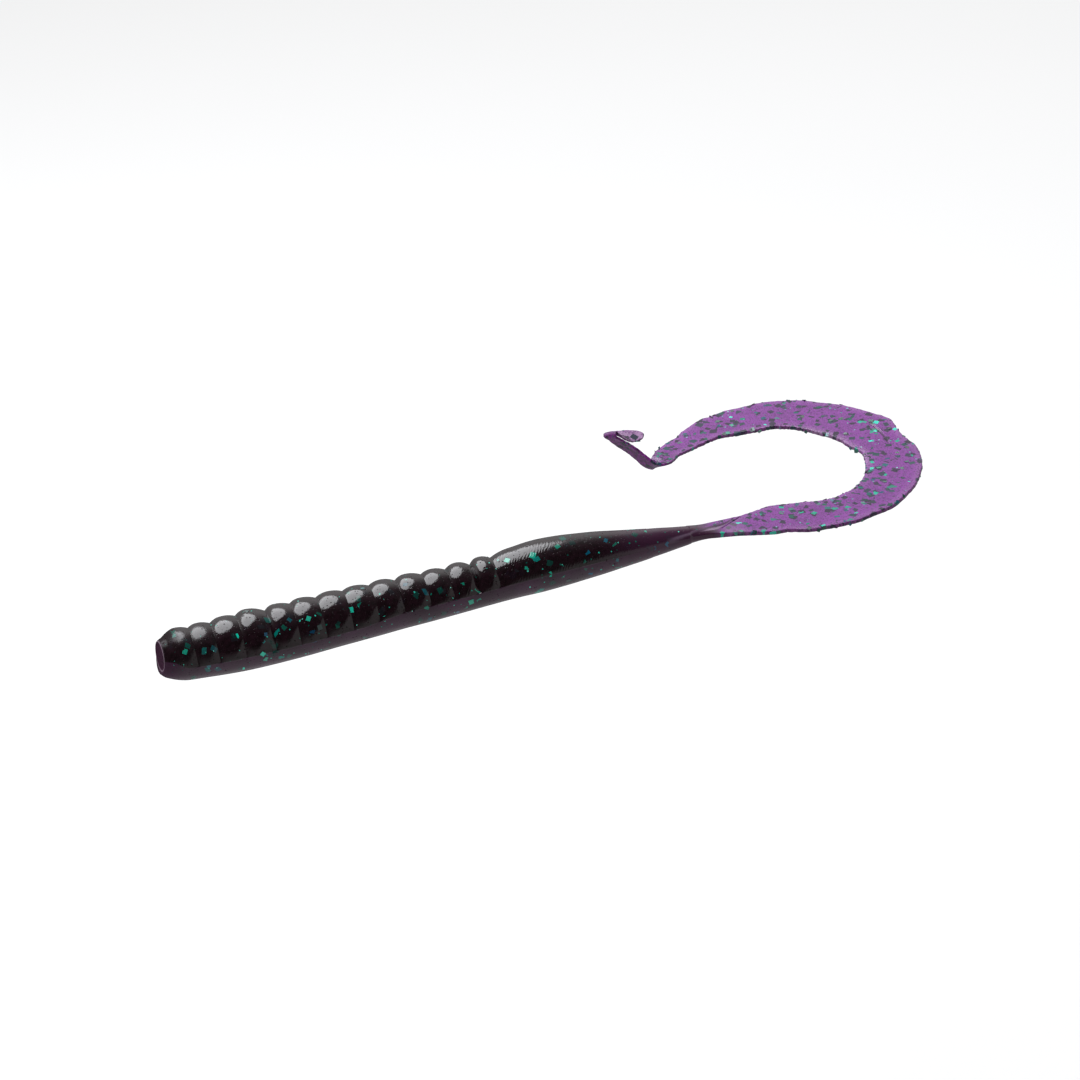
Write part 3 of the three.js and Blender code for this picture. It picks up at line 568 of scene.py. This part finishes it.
class Tree:
    def __init__(self, tree):
        self.tree = tree
        tree.nodes.clear()

    def node(self, kind, inputs=None, **settings):
        node = self.tree.nodes.new("ShaderNode" + kind)
        for name, value in settings.items():
            setattr(node, name, value)
        for key, value in (inputs or {}).items():
            if isinstance(value, bpy.types.NodeSocket):
                self.tree.links.new(value, node.inputs[key])
            else:
                node.inputs[key].default_value = value
        return node

    def math(self, op, *values):
        return self.node("Math", dict(enumerate(values)), operation=op).outputs[0]

    def mul(self, a, b):
        return self.math("MULTIPLY", a, b)

    def add(self, a, b):
        return self.math("ADD", a, b)

    def line(self, x, gain, base):
        return self.math("MULTIPLY_ADD", x, gain, base)

    def fract(self, x, gain):
        return self.math("FRACT", self.mul(x, gain))

    def vector(self, op, *values):
        return self.node("VectorMath", dict(enumerate(values)), operation=op).outputs[0]

    def scale(self, vector, factor):
        return self.node("VectorMath", {0: vector, 3: factor}, operation="SCALE").outputs[0]

    def turn(self, vector, angle):
        return self.node("VectorRotate", {"Vector": vector, "Angle": angle},
                         rotation_type="Z_AXIS").outputs[0]

    def mix(self, factor, a, b):
        return self.node("Mix", {0: factor, 6: a, 7: b}, data_type="RGBA").outputs[2]

    def lerp(self, factor, a, b):
        return self.node("Mix", {0: factor, 2: a, 3: b}, data_type="FLOAT").outputs[0]

    def step(self, x, zero, one):
        """smooth step, 0 at `zero` and 1 at `one`"""
        return self.node("MapRange", {"Value": x, "From Min": zero, "From Max": one},
                         interpolation_type="SMOOTHSTEP").outputs[0]

    def ramp(self, x, stops):
        node = self.node("ValToRGB", {"Fac": x})
        elements = node.color_ramp.elements
        while len(elements) < len(stops):
            elements.new(1.0)
        for element, (position, colour) in zip(elements, stops):
            element.position = position
            element.color = colour
        return node.outputs[0]

    def attribute(self, name):
        return self.node("Attribute", attribute_name=name).outputs["Vector"]

    def split(self, vector):
        return tuple(self.node("SeparateXYZ", {0: vector}).outputs)

    def pattern(self):
        """flat pattern place, and u"""
        mm = self.attribute("mm")
        return self.vector("MULTIPLY", mm, (1, 1, 0)), self.split(mm)[2]

    def object_place(self):
        return self.node("TexCoord").outputs["Object"]

    def noise(self, place, scale, detail, rough):
        return self.node("TexNoise", {"Vector": place, "Scale": scale, "Detail": detail,
                                      "Roughness": rough}).outputs[0]

    def bump(self, height, distance):
        return self.node("Bump", {"Strength": 1.0, "Distance": distance,
                                  "Height": height}).outputs[0]

    def cells(self, place):
        return self.node("TexVoronoi", {"Vector": place, "Scale": 1.0, "Randomness": 1.0},
                         voronoi_dimensions="2D", feature="F1").outputs

    def flakes(self, place, cell, size, seed):
        """square-cut glitter, one flake to a cell: (mask, brightness 0-1, rank 0-1)"""
        # the seed shifts and turns the cells; fract() draws further random numbers from r and g
        place = self.vector("ADD", place, (seed * 17.31, seed * 9.77, 0.0))
        place = self.scale(self.turn(place, 0.7 * seed), 1.0 / cell)
        cells = self.cells(place)
        r, g, b = self.split(cells["Color"])
        offset = self.vector("SUBTRACT", place, cells["Position"])
        x, y, _ = self.split(self.turn(offset, self.mul(r, 6.283)))
        smallest = 0.65
        half = self.mul(self.line(self.fract(r, 41.3), gain=1 - smallest, base=smallest),
                        0.5 * size / cell)
        half_y = self.mul(half, self.line(self.fract(g, 23.7), gain=0.45, base=0.55))
        mask = self.mul(self.math("LESS_THAN", self.math("ABSOLUTE", x), half),
                        self.math("LESS_THAN", self.math("ABSOLUTE", y), half_y))
        mask = self.mul(mask, self.math("LESS_THAN", g, 1.0))
        return mask, b, self.fract(g, 91.1)

    def dots(self, place, cell, size, share, seed):
        """round dots in a share of the cells: (mask, random 0-1)"""
        place = self.vector("ADD", place, (seed * 5.31, seed * 3.77, 0.0))
        cells = self.cells(self.scale(place, 1.0 / cell))
        r, g, b = self.split(cells["Color"])
        half = self.mul(self.line(r, gain=0.6, base=0.4), 0.5 * size / cell)
        mask = self.step(cells["Distance"], zero=half, one=self.mul(half, 0.6))
        return self.mul(mask, self.math("LESS_THAN", g, share)), b


def new_material(name):
    material = bpy.data.materials.new(name)
    material.use_nodes = True
    return material, Tree(material.node_tree)


# ------------------------------------------------------------------ materials
TINT = SimpleNamespace(**{name: srgb(*rgb) for name, rgb in dict(
    # belly colours: painted reflection of the pale floor and painted light from below, lightening
    # the lower half
    back=(15, 8, 10), back_light=(27, 13, 19), belly=(38, 21, 34), belly_light=(51, 28, 47),
    purple=(98, 38, 112), purple_mid=(114, 46, 129), purple_light=(124, 53, 138),
    # under: painted shade on the ribbon's underside; side colours: the walls, partly thick plastic
    # seen edge-on, partly painted shade; edge: a painted pale sheen along the ribbon's edges
    under=(92, 36, 98), side=(70, 32, 72), side_light=(104, 50, 106), edge=(150, 108, 158),
    # tip colours: painted shade on the dark stretch of the tip
    frost=(158, 134, 160), taper=(50, 25, 44), tip=(58, 14, 58), tip_light=(104, 26, 110),
    # flap colour: a painted pale highlight on the turned-back end of the tip
    flap=(176, 146, 178), fleck_small=(38, 14, 48), fleck_big=(44, 26, 66),
    # crease colour: painted shade in creases; seam colour: a painted highlight along the mould seam
    fold=(28, 8, 30), seam_lip=(128, 108, 130), dish=(28, 11, 24), dish_light=(52, 22, 44),
    # dish edge colour: a painted highlight round the sprue dish
    dish_rim=(128, 112, 124), glow=(190, 90, 205), glitter_stain=(0, 70, 70)).items()})
GLITTER_RAMP = [
    (0.0, srgb(0, 32, 32)), (0.22, srgb(0, 54, 48)), (0.42, srgb(2, 84, 70)),
    (0.58, srgb(0, 64, 94)), (0.68, srgb(0, 106, 88)), (0.82, srgb(4, 140, 116)),
    (0.92, srgb(8, 176, 150)), (0.985, srgb(50, 216, 190))]
DARK_RAMP = [(0.0, srgb(20, 18, 34)), (0.5, srgb(24, 30, 46)), (0.78, srgb(12, 44, 52)),
             (1.0, srgb(0, 70, 68))]
DUST_RAMP = [(0.0, srgb(0, 50, 46)), (0.5, srgb(0, 94, 80)), (0.85, srgb(40, 170, 150)),
             (1.0, srgb(140, 220, 205))]
# glitter in three layers: cell, size, share, seed, lift of the brightness, and opacity
# in thick and in thin plastic
GLITTER_LAYERS = [(2.15, 1.5, 0.80, 1.0, 0.0, 0.12, 0.93), (2.2, 1.25, 0.30, 2.0, 0.22, 0.55, 0.9),
                  (2.7, 1.2, 0.30, 4.0, 0.5, 0.9, 1.0)]


class Plastic:
    """tinted plastic with glitter; solid on the body, clearer on the taper and ribbon"""

    def __init__(self, name, solid):
        self.material, self.tree = new_material(name)
        t, self.solid = self.tree, solid
        self.place, self.u = t.pattern()
        self.thin, self.wall, self.belly = t.split(t.attribute("ma"))
        self.frost, self.edge, self.sheen_and_crease_shade = t.split(t.attribute("mb"))
        self.big = t.noise(self.place, scale=0.16, detail=3, rough=0.55)
        self.fine = t.noise(self.place, scale=1.1, detail=3, rough=0.6)
        self.grain = t.noise(self.place, scale=4.2, detail=2, rough=0.6)
        self.clear = 0.0 if solid else t.step(self.thin, zero=0.55, one=1.0)
        colour = self.body_tint()
        if not solid:
            colour = self.flecks(self.tail_tint(colour))
        colour, flakes = self.glitter(colour)
        colour = self.dish_tint_and_rim_highlight(colour) if solid else self.seam_sheen_and_shade(colour)
        self.finish(colour, flakes)

    def body_tint(self):
        t = self.tree
        dark = t.mix(t.step(self.fine, zero=0.3, one=0.75), TINT.back, TINT.back_light)
        # the lower half is painted lighter and more purple: a painted reflection of the pale floor
        # and painted light from below
        belly_floor_sheen = t.mix(t.step(self.big, zero=0.35, one=0.7), TINT.belly, TINT.belly_light)
        return t.mix(self.belly, dark, belly_floor_sheen)

    def tail_tint(self, body):
        t, u, fine = self.tree, self.u, self.fine
        top = t.mix(t.step(self.big, zero=0.35, one=0.68), TINT.purple, TINT.purple_mid)
        top = t.mix(t.step(fine, zero=0.3, one=0.8), top, TINT.purple_light)
        # the walls' duller colour: partly the thick plastic seen edge-on, partly painted shade,
        # strongest on walls facing the front
        side = t.mix(t.step(fine, zero=0.3, one=0.7), TINT.side, TINT.side_light)
        # the underside is a little darker than the top: painted shade
        lilac = t.mix(self.wall, t.mix(self.belly, top, TINT.under), side)
        # a painted pale sheen along the ribbon's edges, kept off the walls
        rim_sheen = t.mul(self.edge, t.math("SUBTRACT", 1.0, self.wall))
        lilac = t.mix(t.mul(rim_sheen, 0.3), lilac, TINT.edge)
        speckle = t.noise(self.place, scale=1.9, detail=4, rough=0.7)
        frosty = t.mul(self.frost, t.step(speckle, zero=0.38, one=0.62))
        lilac = t.mix(t.mul(frosty, 0.5), lilac, TINT.frost)
        taper = t.mix(t.step(self.thin, zero=0.0, one=0.55), body, TINT.taper)
        colour = t.mix(t.step(self.thin, zero=0.5, one=0.95), taper, lilac)
        # painted shade on the dark stretch of the tip, stronger on its underside
        tip = t.mul(t.step(u, zero=208.5, one=211.5), t.step(u, zero=227.2, one=225.6))
        tip_shade_colour = t.mix(t.step(fine, zero=0.35, one=0.6), TINT.tip, TINT.tip_light)
        colour = t.mix(t.mul(tip, t.lerp(self.belly, 0.35, 0.9)), colour, tip_shade_colour)
        # then a painted pale highlight on the turned-back end
        flap = t.mul(t.step(u, zero=227.2, one=228.2), t.step(fine, zero=0.25, one=0.6))
        return t.mix(t.mul(flap, 0.6), colour, TINT.flap)

    def flecks(self, colour):
        """fine dark fleck, seen where the plastic is thin"""
        t = self.tree
        small, _ = t.dots(self.place, cell=0.52, size=0.34, share=0.9, seed=3.0)
        big, _ = t.dots(self.place, cell=1.15, size=0.52, share=0.5, seed=5.0)
        colour = t.mix(t.mul(t.mul(small, self.clear), 0.72), colour, TINT.fleck_small)
        return t.mix(t.mul(t.mul(big, self.clear), 0.5), colour, TINT.fleck_big)

    def glitter(self, colour):
        """colour with flakes and sparkle dust, and the flake masks"""
        t, masks = self.tree, []
        solid_share = 0.34
        patches = t.noise(self.place, scale=0.3, detail=2, rough=0.5)
        clump = t.line(t.step(patches, zero=0.42, one=0.6), gain=1.5, base=0.22)
        keep = solid_share if self.solid else t.lerp(self.clear, solid_share, 1.0)
        keep = t.mul(keep, clump)
        for cell, size, share, seed, lift, thick_opacity, thin_opacity in GLITTER_LAYERS:
            mask, bright, rank = t.flakes(self.place, cell, size, seed)
            mask = t.mul(mask, t.math("LESS_THAN", rank, t.mul(keep, share)))
            if lift == 0.0:
                flake = t.ramp(bright, DARK_RAMP)
            else:
                value = t.add(t.mul(bright, 1.0 - lift * 0.45), lift * 0.45)
                flake = t.ramp(t.math("POWER", value, 1.25), GLITTER_RAMP)
            opacity = t.lerp(self.clear, thick_opacity, thin_opacity)
            colour = t.mix(t.mul(mask, opacity), colour, flake)
            masks.append(mask)
        dust, bright = t.dots(self.place, cell=1.5, size=0.42, share=0.34, seed=8.0)
        return t.mix(t.mul(dust, 0.85), colour, t.ramp(bright, DUST_RAMP)), masks

    def seam_sheen_and_shade(self, colour):
        """painted shade in the pressed creases and painted highlights along the mould seam"""
        t = self.tree
        fold = t.math("MAXIMUM", t.mul(self.sheen_and_crease_shade, -1.0), 0.0)
        colour = t.mix(t.mul(fold, 0.95), colour, TINT.fold)
        return t.mix(t.mul(t.math("MAXIMUM", self.sheen_and_crease_shade, 0.0), 0.75), colour, TINT.seam_lip)

    def dish_tint_and_rim_highlight(self, colour):
        """the sprue dish is a little clearer inside, with a painted highlight round its edge"""
        t = self.tree
        dish = t.mul(self.frost, t.step(self.u, zero=1.5, one=0.5))
        inside = t.mix(t.step(self.grain, zero=0.35, one=0.6), TINT.dish, TINT.dish_light)
        return t.mix(t.mul(self.sheen_and_crease_shade, 0.8), t.mix(dish, colour, inside), TINT.dish_rim)

    def height(self, small_pit, big_pit, flakes):
        """pits, drag wrinkles and a slight orange peel"""
        t = self.tree
        wave = t.node("TexWave", {"Vector": t.turn(self.place, 0.5), "Scale": 0.62,
                                  "Distortion": 7.0, "Detail": 3.0, "Detail Scale": 1.1},
                      wave_type="BANDS", bands_direction="X").outputs[1]
        wrinkled = t.mul(t.step(self.u, zero=50, one=58), t.step(self.u, zero=84, one=72))
        wrinkled = t.mul(wrinkled, t.step(self.big, zero=0.42, one=0.6))
        # each term and how much it raises the surface
        terms = [(big_pit, -0.5), (self.grain, 0.35), (self.fine, 0.6),
                 (t.mul(wave, wrinkled), 0.5)]
        if not self.solid:
            terms += [(t.mul(mask, self.clear), 0.7) for mask in flakes[1:]]
            rough = t.noise(self.place, scale=2.6, detail=4, rough=0.7)
            terms.append((t.mul(rough, self.frost), 2.2))
        height = t.mul(small_pit, -0.55)
        for term, amount in terms:
            height = t.add(height, t.mul(term, amount))
        return height

    def roughness(self):
        t = self.tree
        rough = t.line(self.grain, gain=0.07, base=0.045 if self.solid else 0.1)
        if self.solid:
            # the first rings are a little matt
            return t.add(rough, t.mul(t.step(self.u, zero=10.6, one=8.4), 0.13))
        rough = t.lerp(self.clear, rough, t.add(rough, 0.12))
        return t.add(rough, t.mul(self.frost, 0.25))

    def finish(self, colour, flakes):
        t = self.tree
        small_pit, _ = t.dots(self.place, cell=0.8, size=0.34, share=0.62, seed=11.0)
        big_pit, _ = t.dots(self.place, cell=2.1, size=0.6, share=0.32, seed=12.0)
        patches = t.noise(self.place, scale=0.35, detail=2, rough=0.5)
        pitted = t.mul(t.math("MAXIMUM", small_pit, big_pit),
                       t.line(t.step(patches, zero=0.42, one=0.6), gain=0.7, base=0.3))
        bump = t.bump(self.height(small_pit, big_pit, flakes), distance=0.000032)
        gloss = 1.0
        if self.solid:
            gloss = t.line(t.step(self.u, zero=0.2, one=4.2), gain=0.75, base=0.25)
        coat = t.mul(t.math("SUBTRACT", 1.0, t.mul(pitted, 0.8)), gloss)
        shader = t.node("BsdfPrincipled", {
            "Base Color": colour, "Roughness": 0.5, "Specular IOR Level": 0.0, "Normal": bump,
            "Coat Weight": coat, "Coat Roughness": self.roughness(), "Coat IOR": 1.5,
            "Coat Normal": bump}).outputs[0]
        if not self.solid:
            glow = t.node("BsdfTranslucent", {"Color": t.mix(0.35, colour, TINT.glow),
                                              "Normal": bump}).outputs[0]
            amount = t.mul(self.clear, t.lerp(self.wall, 0.2, 0.08))
            shader = t.node("MixShader", {0: amount, 1: shader, 2: glow}).outputs[0]
        t.node("OutputMaterial", {0: shader})


def glitter_material():
    """cut glitter lying at the surface, under a skin of plastic"""
    material, t = new_material("glitter")
    brightness = t.split(t.attribute("fl"))[0]
    stain = t.noise(t.pattern()[0], scale=1.6, detail=3, rough=0.6)
    colour = t.mix(t.mul(t.step(stain, zero=0.45, one=0.75), 0.35),
                   t.ramp(brightness, GLITTER_RAMP), TINT.glitter_stain)
    bump = t.bump(stain, distance=0.00002)
    shader = t.node("BsdfPrincipled", {
        "Base Color": colour, "Metallic": 0.25, "Roughness": 0.32, "Coat Weight": 1.0,
        "Coat Roughness": 0.12, "Normal": bump, "Coat Normal": bump})
    t.node("OutputMaterial", {0: shader.outputs[0]})
    return material


def cap_material():
    """clear ends of the taper and ribbon pieces"""
    material, t = new_material("inside")
    cloud = t.noise(t.object_place(), scale=800.0, detail=2, rough=0.5)
    shader = t.node("BsdfTransparent", {0: t.mix(cloud, grey(1), (0.97, 0.96, 0.98, 1))})
    t.node("OutputMaterial", {0: shader.outputs[0]})
    return material


PLASTIC = {zone: Plastic("worm_plastic_" + zone, zone == "body").material
           for zone in ("body", "taper", "ribbon")}
GLITTER = glitter_material()
CAP = cap_material()

# ------------------------------------------------------------------ cut glitter at the surface
# by kind: half-size range, spread of the tilt, range of the lift off the skin
PLATES = {"face": ((0.34, 0.52), 0.07, (-0.01, 0.012)),
          "edge": ((0.28, 0.42), 0.14, (-0.03, 0.03)),
          "body": ((0.3, 0.5), 0.05, (-0.012, 0.012))}
PLATE_HALF_THICK = 0.018
BOX_FACES = [(3, 2, 1, 0), (4, 5, 6, 7), (0, 1, 5, 4), (1, 2, 6, 5), (2, 3, 7, 6), (3, 0, 4, 7)]


def scatter():
    """(row, place around, kind) of every plate"""
    u = ROW_U[:-1, None]
    along = SKIN[1:] - SKIN[:-1]
    area = np.linalg.norm(np.cross(along, np.roll(SKIN, -1, axis=1)[:-1] - SKIN[:-1]), axis=2)
    on_ribbon = smooth(103, 112, u) * (u < PATH_END - 1.5)
    near_edge = np.zeros(AROUND)
    near_edge[RIGHT_LOW - 5:RIGHT_TOP + 6] = 1
    near_edge[LEFT_TOP - 5:LEFT_LOW + 6] = 1
    plates = []
    for kind, count, weight in (("face", 64, on_ribbon * (1 - near_edge)),
                                ("edge", 60, on_ribbon * near_edge),
                                ("body", 62, (u > 1.0) & (u < 101))):
        chance = (area * weight).ravel()
        picks = rng.choice(len(chance), size=count, p=chance / chance.sum())
        plates += [(*divmod(int(pick), AROUND), kind) for pick in picks]
    return plates


def plate(i, j, kind):
    """corners and face normals of one glitter plate"""
    corner, normal = SKIN[i, j], NORMALS[i, j]
    along = SKIN[i + 1, j] - corner
    place = corner + along * rng.random() + (SKIN[i, (j + 1) % AROUND] - corner) * rng.random()
    along = along - normal * (along @ normal)
    along /= max(np.linalg.norm(along), 1e-9)
    across = np.cross(normal, along)
    turn = rng.uniform(0, math.pi)
    size_range, tilt, _ = PLATES[kind]
    size = rng.uniform(*size_range)
    # a lift is drawn for every kind, so the random sequence doesn't depend on the kind
    lift = {name: rng.uniform(*spec[2]) for name, spec in PLATES.items()}[kind]
    out = unit(normal + along * rng.normal(0, tilt) + across * rng.normal(0, tilt))
    side = along * math.cos(turn) + across * math.sin(turn)
    side = unit(side - out * (side @ out))
    other = np.cross(out, side)
    centre = place + normal * lift
    size_2 = size * rng.uniform(0.72, 1.0)
    corners = [centre + side * size * x + other * size_2 * y + out * PLATE_HALF_THICK * z
               for z in (-1, 1) for x, y in ((-1, -1), (1, -1), (1, 1), (-1, 1))]
    return np.array(corners), [-out, out, -other, side, other, -side]


FLAKES = scatter()

# ------------------------------------------------------------------ pieces
SPLIT = [0] + [NOSE_COUNT + int(np.argmin(np.abs(STATIONS - u))) for u in MIDS] + [ROWS - 1]


class Piece:
    """mesh data gathered part by part"""

    def __init__(self):
        self.data = {name: [] for name in ("place", "normal", "mm", "ma", "mb", "fl")}
        self.count, self.faces, self.materials, self.flat = 0, [], [], []

    def add_points(self, *values):
        """place, normal, mm, ma, mb, fl; returns the index of the first point"""
        start, n = self.count, len(values[0])
        for column, value in zip(self.data.values(), values):
            column.append(np.broadcast_to(value, (n, 3)))
        self.count += n
        return start

    def add_face(self, corners, material=0, normal=None):
        """a normal makes the face flat, with hard edges"""
        self.faces.append(tuple(corners))
        self.materials.append(material)
        self.flat.append(normal)

    def add_skin(self, rows):
        parts = (part[rows].reshape(-1, 3) for part in (SKIN, NORMALS, PATTERN, MASK_A, MASK_B))
        return self.add_points(*parts, 0)

    def add_cap(self, ring, i, sign, material):
        """end cap fanned from the middle; sign is -1 at the nose end, 1 at the tail end"""
        loop = SKIN[i]
        normal = np.cross(loop[TOP_MID] - loop[0], loop[RIGHT_LOW] - loop[LEFT_TOP])
        normal = normal / max(np.linalg.norm(normal), 1e-9)
        along = SKIN[min(i + 1, ROWS - 1), TOP_MID] - SKIN[max(i - 1, 0), TOP_MID]
        normal = normal * (-sign if normal @ along < 0 else sign)
        middle = self.add_points(loop.mean(0)[None, :], normal, PATTERN[i, TOP_MID],
                                 MASK_A[i, TOP_MID], 0, 0)
        for j in range(AROUND):
            a, b = ring + j, ring + (j + 1) % AROUND
            self.add_face((middle, b, a) if sign < 0 else (middle, a, b), material, normal)

    def add_plate(self, i, j, kind):
        corners, normals = plate(i, j, kind)
        shift = (corners - corners.mean(0)) * (1, 1, 0)
        bright = rng.random() ** 1.25 * (0.7 if kind == "edge" else 1.0)
        start = self.add_points(corners, NORMALS[i, j], PATTERN[i, j] + shift, MASK_A[i, j], 0,
                                (bright, rng.random(), rng.random()))
        for face, normal in zip(BOX_FACES, normals):
            self.add_face((start + x for x in face), 2, normal)

    def mesh(self, name, materials):
        data = {key: np.concatenate(parts) for key, parts in self.data.items()}
        mesh = bpy.data.meshes.new(name)
        mesh.from_pydata([tuple(v) for v in data["place"] * MM], [], self.faces)
        for key in ("mm", "ma", "mb", "fl"):
            layer = mesh.attributes.new(key, "FLOAT_VECTOR", "POINT")
            layer.data.foreach_set("vector", data[key].astype(np.float32).ravel())
        for material in materials:
            mesh.materials.append(material)
        mesh.polygons.foreach_set("material_index", np.array(self.materials, np.int32))
        mesh.polygons.foreach_set("use_smooth", np.ones(len(self.faces), bool))
        mesh.update()
        self.set_shading(mesh, data["normal"])
        return mesh

    def set_shading(self, mesh, point_normals):
        """caps and plates meet the skin at hard edges; the skin keeps its smooth normals"""
        hard = {frozenset(pair) for face, flat in zip(self.faces, self.flat) if flat is not None
                for pair in zip(face, face[1:] + face[:1])}
        ends = np.empty(len(mesh.edges) * 2, np.int32)
        mesh.edges.foreach_get("vertices", ends)
        sharp = np.array([frozenset((int(a), int(b))) in hard for a, b in ends.reshape(-1, 2)])
        layer = (mesh.attributes.get("sharp_edge")
                 or mesh.attributes.new("sharp_edge", "BOOLEAN", "EDGE"))
        layer.data.foreach_set("value", sharp)
        loops = np.empty(len(mesh.loops), np.int32)
        mesh.loops.foreach_get("vertex_index", loops)
        normals = point_normals[loops]
        starts = np.empty(len(self.faces), np.int32)
        mesh.polygons.foreach_get("loop_start", starts)
        for start, face, flat in zip(starts, self.faces, self.flat):
            if flat is not None:
                normals[start:start + len(face)] = flat
        mesh.normals_split_custom_set([tuple(x) for x in normals])


def bend_zone(k):
    """start and end of the bend: from just inside one cut to just inside the other"""
    centre, along, _, _ = frame_at(BOUNDS[k])
    start = -(BOUNDS[0] - 3.2)
    if k > 0:
        start = ((SKIN[SPLIT[k]] - centre) @ along).max()
    end = 2.2
    if k < len(BOUNDS) - 1:
        end = ((SKIN[SPLIT[k + 1]] - centre) @ along).min()
    if k < 18:
        start, end = start * 0.9, end * 0.9
    margin, shortest = 0.03, 0.4
    start, end = start + margin, end - margin
    if end - start < shortest:
        middle = (start + end) / 2
        start, end = middle - shortest / 2, middle + shortest / 2
    return [tuple((centre + along * s) * MM) for s in (start, end)]


def build(k):
    """the piece of skin across joint k"""
    first, last = SPLIT[k], SPLIT[k + 1]
    zone = "body" if k < TAPER_START else "taper" if k < RIBBON_START_PIECE else "ribbon"
    piece = Piece()
    # the first row of the nose is a single point
    pole = first == 0
    if pole:
        piece.add_points(*(part[0, 0][None, :]
                           for part in (SKIN, NORMALS, PATTERN, MASK_A, MASK_B)), 0)
    top = first + pole
    base = piece.add_skin(slice(top, last + 1))
    for ring in range(base, base + (last - top) * AROUND, AROUND):
        for j in range(AROUND):
            a, b = ring + j, ring + (j + 1) % AROUND
            piece.add_face((a, a + AROUND, b + AROUND, b))
    if pole:
        for j in range(AROUND):
            piece.add_face((0, base + j, base + (j + 1) % AROUND))
    cap = 0 if zone == "body" else 1
    if not pole:
        piece.add_cap(base, top, -1, cap)
    piece.add_cap(base + (last - top) * AROUND, last, 1, 0 if last == ROWS - 1 else cap)
    for i, j, kind in FLAKES:
        if first <= i < last:
            piece.add_plate(i, j, kind)
    inside = PLASTIC[zone] if zone == "body" else CAP
    mesh = piece.mesh("skin_%02d" % k, (PLASTIC[zone], inside, GLITTER))
    skin = bpy.data.objects.new("skin_%s_to_%s" % (NODES[k], NODES[k + 1]), mesh)
    bpy.context.scene.collection.objects.link(skin)
    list(bend_zone(k))
    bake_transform(skin)
    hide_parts(NODES[k], *(NODES[-1:] if k == len(BOUNDS) - 1 else []))


for k in range(len(BOUNDS)):
    build(k)


# ------------------------------------------------------------------ stage, in metres
def build_floor():
    z = -0.125
    mesh = bpy.data.meshes.new("floor")
    mesh.from_pydata([(-5, -5, z), (5, -5, z), (5, 6, z), (-5, 6, z)], [], [(0, 1, 2, 3)])
    floor = bpy.data.objects.new("floor", mesh)
    bpy.context.scene.collection.objects.link(floor)
    material, t = new_material("pale_floor")
    cloud = t.noise(t.object_place(), scale=3.0, detail=2, rough=0.5)
    matt = t.node("BsdfDiffuse", {0: t.mix(cloud, grey(0.80), grey(0.82))})
    glow = t.node("Emission", {0: t.mix(cloud, grey(0.90), grey(0.92)), 1: 1.0})
    glow_share = 0.72
    shader = t.node("MixShader", {0: glow_share, 1: matt.outputs[0], 2: glow.outputs[0]})
    t.node("OutputMaterial", {0: shader.outputs[0]})
    mesh.materials.append(material)
    floor.visible_glossy = False


def build_softbox():
    """one round softbox overhead, a little to the left of the picture and behind"""
    size, brightness = 0.84, 6.2 * math.pi / 4
    light = bpy.data.lights.new("softbox", "AREA")
    light.shape = "DISK"
    light.size = light.size_y = size
    light.energy = brightness * math.pi * size * size
    light.color = (0.95, 0.965, 1.0)
    light.diffuse_factor = 0.31
    softbox = bpy.data.objects.new("softbox", light)
    softbox.location = (-0.13, 0.29, 0.6)
    bpy.context.scene.collection.objects.link(softbox)


# reflected surroundings: degrees up from the front horizon over the top, grey
SKY = [(-180, 0.34), (-166, 0.22), (-152, 0.12), (-138, 0.30), (-118, 0.50), (-60, 0.52),
       (-36, 0.40), (-24, 0.29), (-11, 0.08), (-3, 0.015), (48, 0.0), (66, 0.06), (82, 0.14),
       (96, 0.25), (108, 0.5), (120, 0.9), (132, 1.12), (144, 1.05), (156, 0.78), (168, 0.52),
       (180, 0.36)]


def build_world():
    world = bpy.data.worlds.new("studio")
    bpy.context.scene.world = world
    world.use_nodes = True
    t = Tree(world.node_tree)
    x, y, z = t.split(t.node("TexCoord").outputs["Generated"])
    half_turns = t.math("DIVIDE", t.math("ARCTAN2", z, t.mul(y, -1.0)), math.pi)
    sky = t.ramp(t.line(half_turns, gain=0.5, base=0.5),
                 [(degrees / 360 + 0.5, grey(value)) for degrees, value in SKY])
    # an even panel at the +X side, with a darker patch high up
    past_edge = t.math("SUBTRACT", x, t.line(z, gain=0.85, base=0.49))
    level = t.mul(t.step(z, zero=-0.6, one=-0.3), t.step(z, zero=0.6, one=0.4))
    sky = t.mix(t.mul(t.step(past_edge, zero=-0.05, one=0.06), level), sky, grey(0.46))
    high = t.mul(t.step(x, zero=0.4, one=0.85), t.step(z, zero=0.35, one=0.6))
    sky = t.mix(high, sky, grey(0.1))
    # even grey for diffuse light, pale for the camera
    ray = t.node("LightPath").outputs
    colour = t.mix(ray["Is Glossy Ray"], grey(0.62), sky)
    colour = t.mix(ray["Is Camera Ray"], colour, grey(0.93))
    t.node("OutputWorld", {0: t.node("Background", {0: colour, 1: 1.0}).outputs[0]})


def build_camera():
    """camera in front of the worm (-Y), looking down at it"""
    azimuth, elevation, roll = (math.radians(a) for a in (-13, 24, 8.06979849))
    distance, target = 0.540, Vector((70.745, 0, 4.763)) * MM
    camera = bpy.data.objects.new("camera", bpy.data.cameras.new("camera"))
    bpy.context.scene.collection.objects.link(camera)
    camera.data.lens, camera.data.sensor_width = 100, 36
    camera.data.clip_start, camera.data.clip_end = 0.01, 50
    back = Vector((math.sin(azimuth) * math.cos(elevation),
                   -math.cos(azimuth) * math.cos(elevation), math.sin(elevation)))
    level_right = Vector((math.cos(azimuth), math.sin(azimuth), 0))
    level_up = level_right.cross(-back)
    right = level_right * math.cos(roll) - level_up * math.sin(roll)
    up = level_right * math.sin(roll) + level_up * math.cos(roll)
    place = target + back * distance
    camera.matrix_world = Matrix((*zip(right, up, back, place), (0, 0, 0, 1)))
    bpy.context.scene.camera = camera


build_floor()
build_softbox()
build_world()
build_camera()
bpy.context.scene.view_settings.view_transform = "Standard"

bpy.context.view_layer.update()
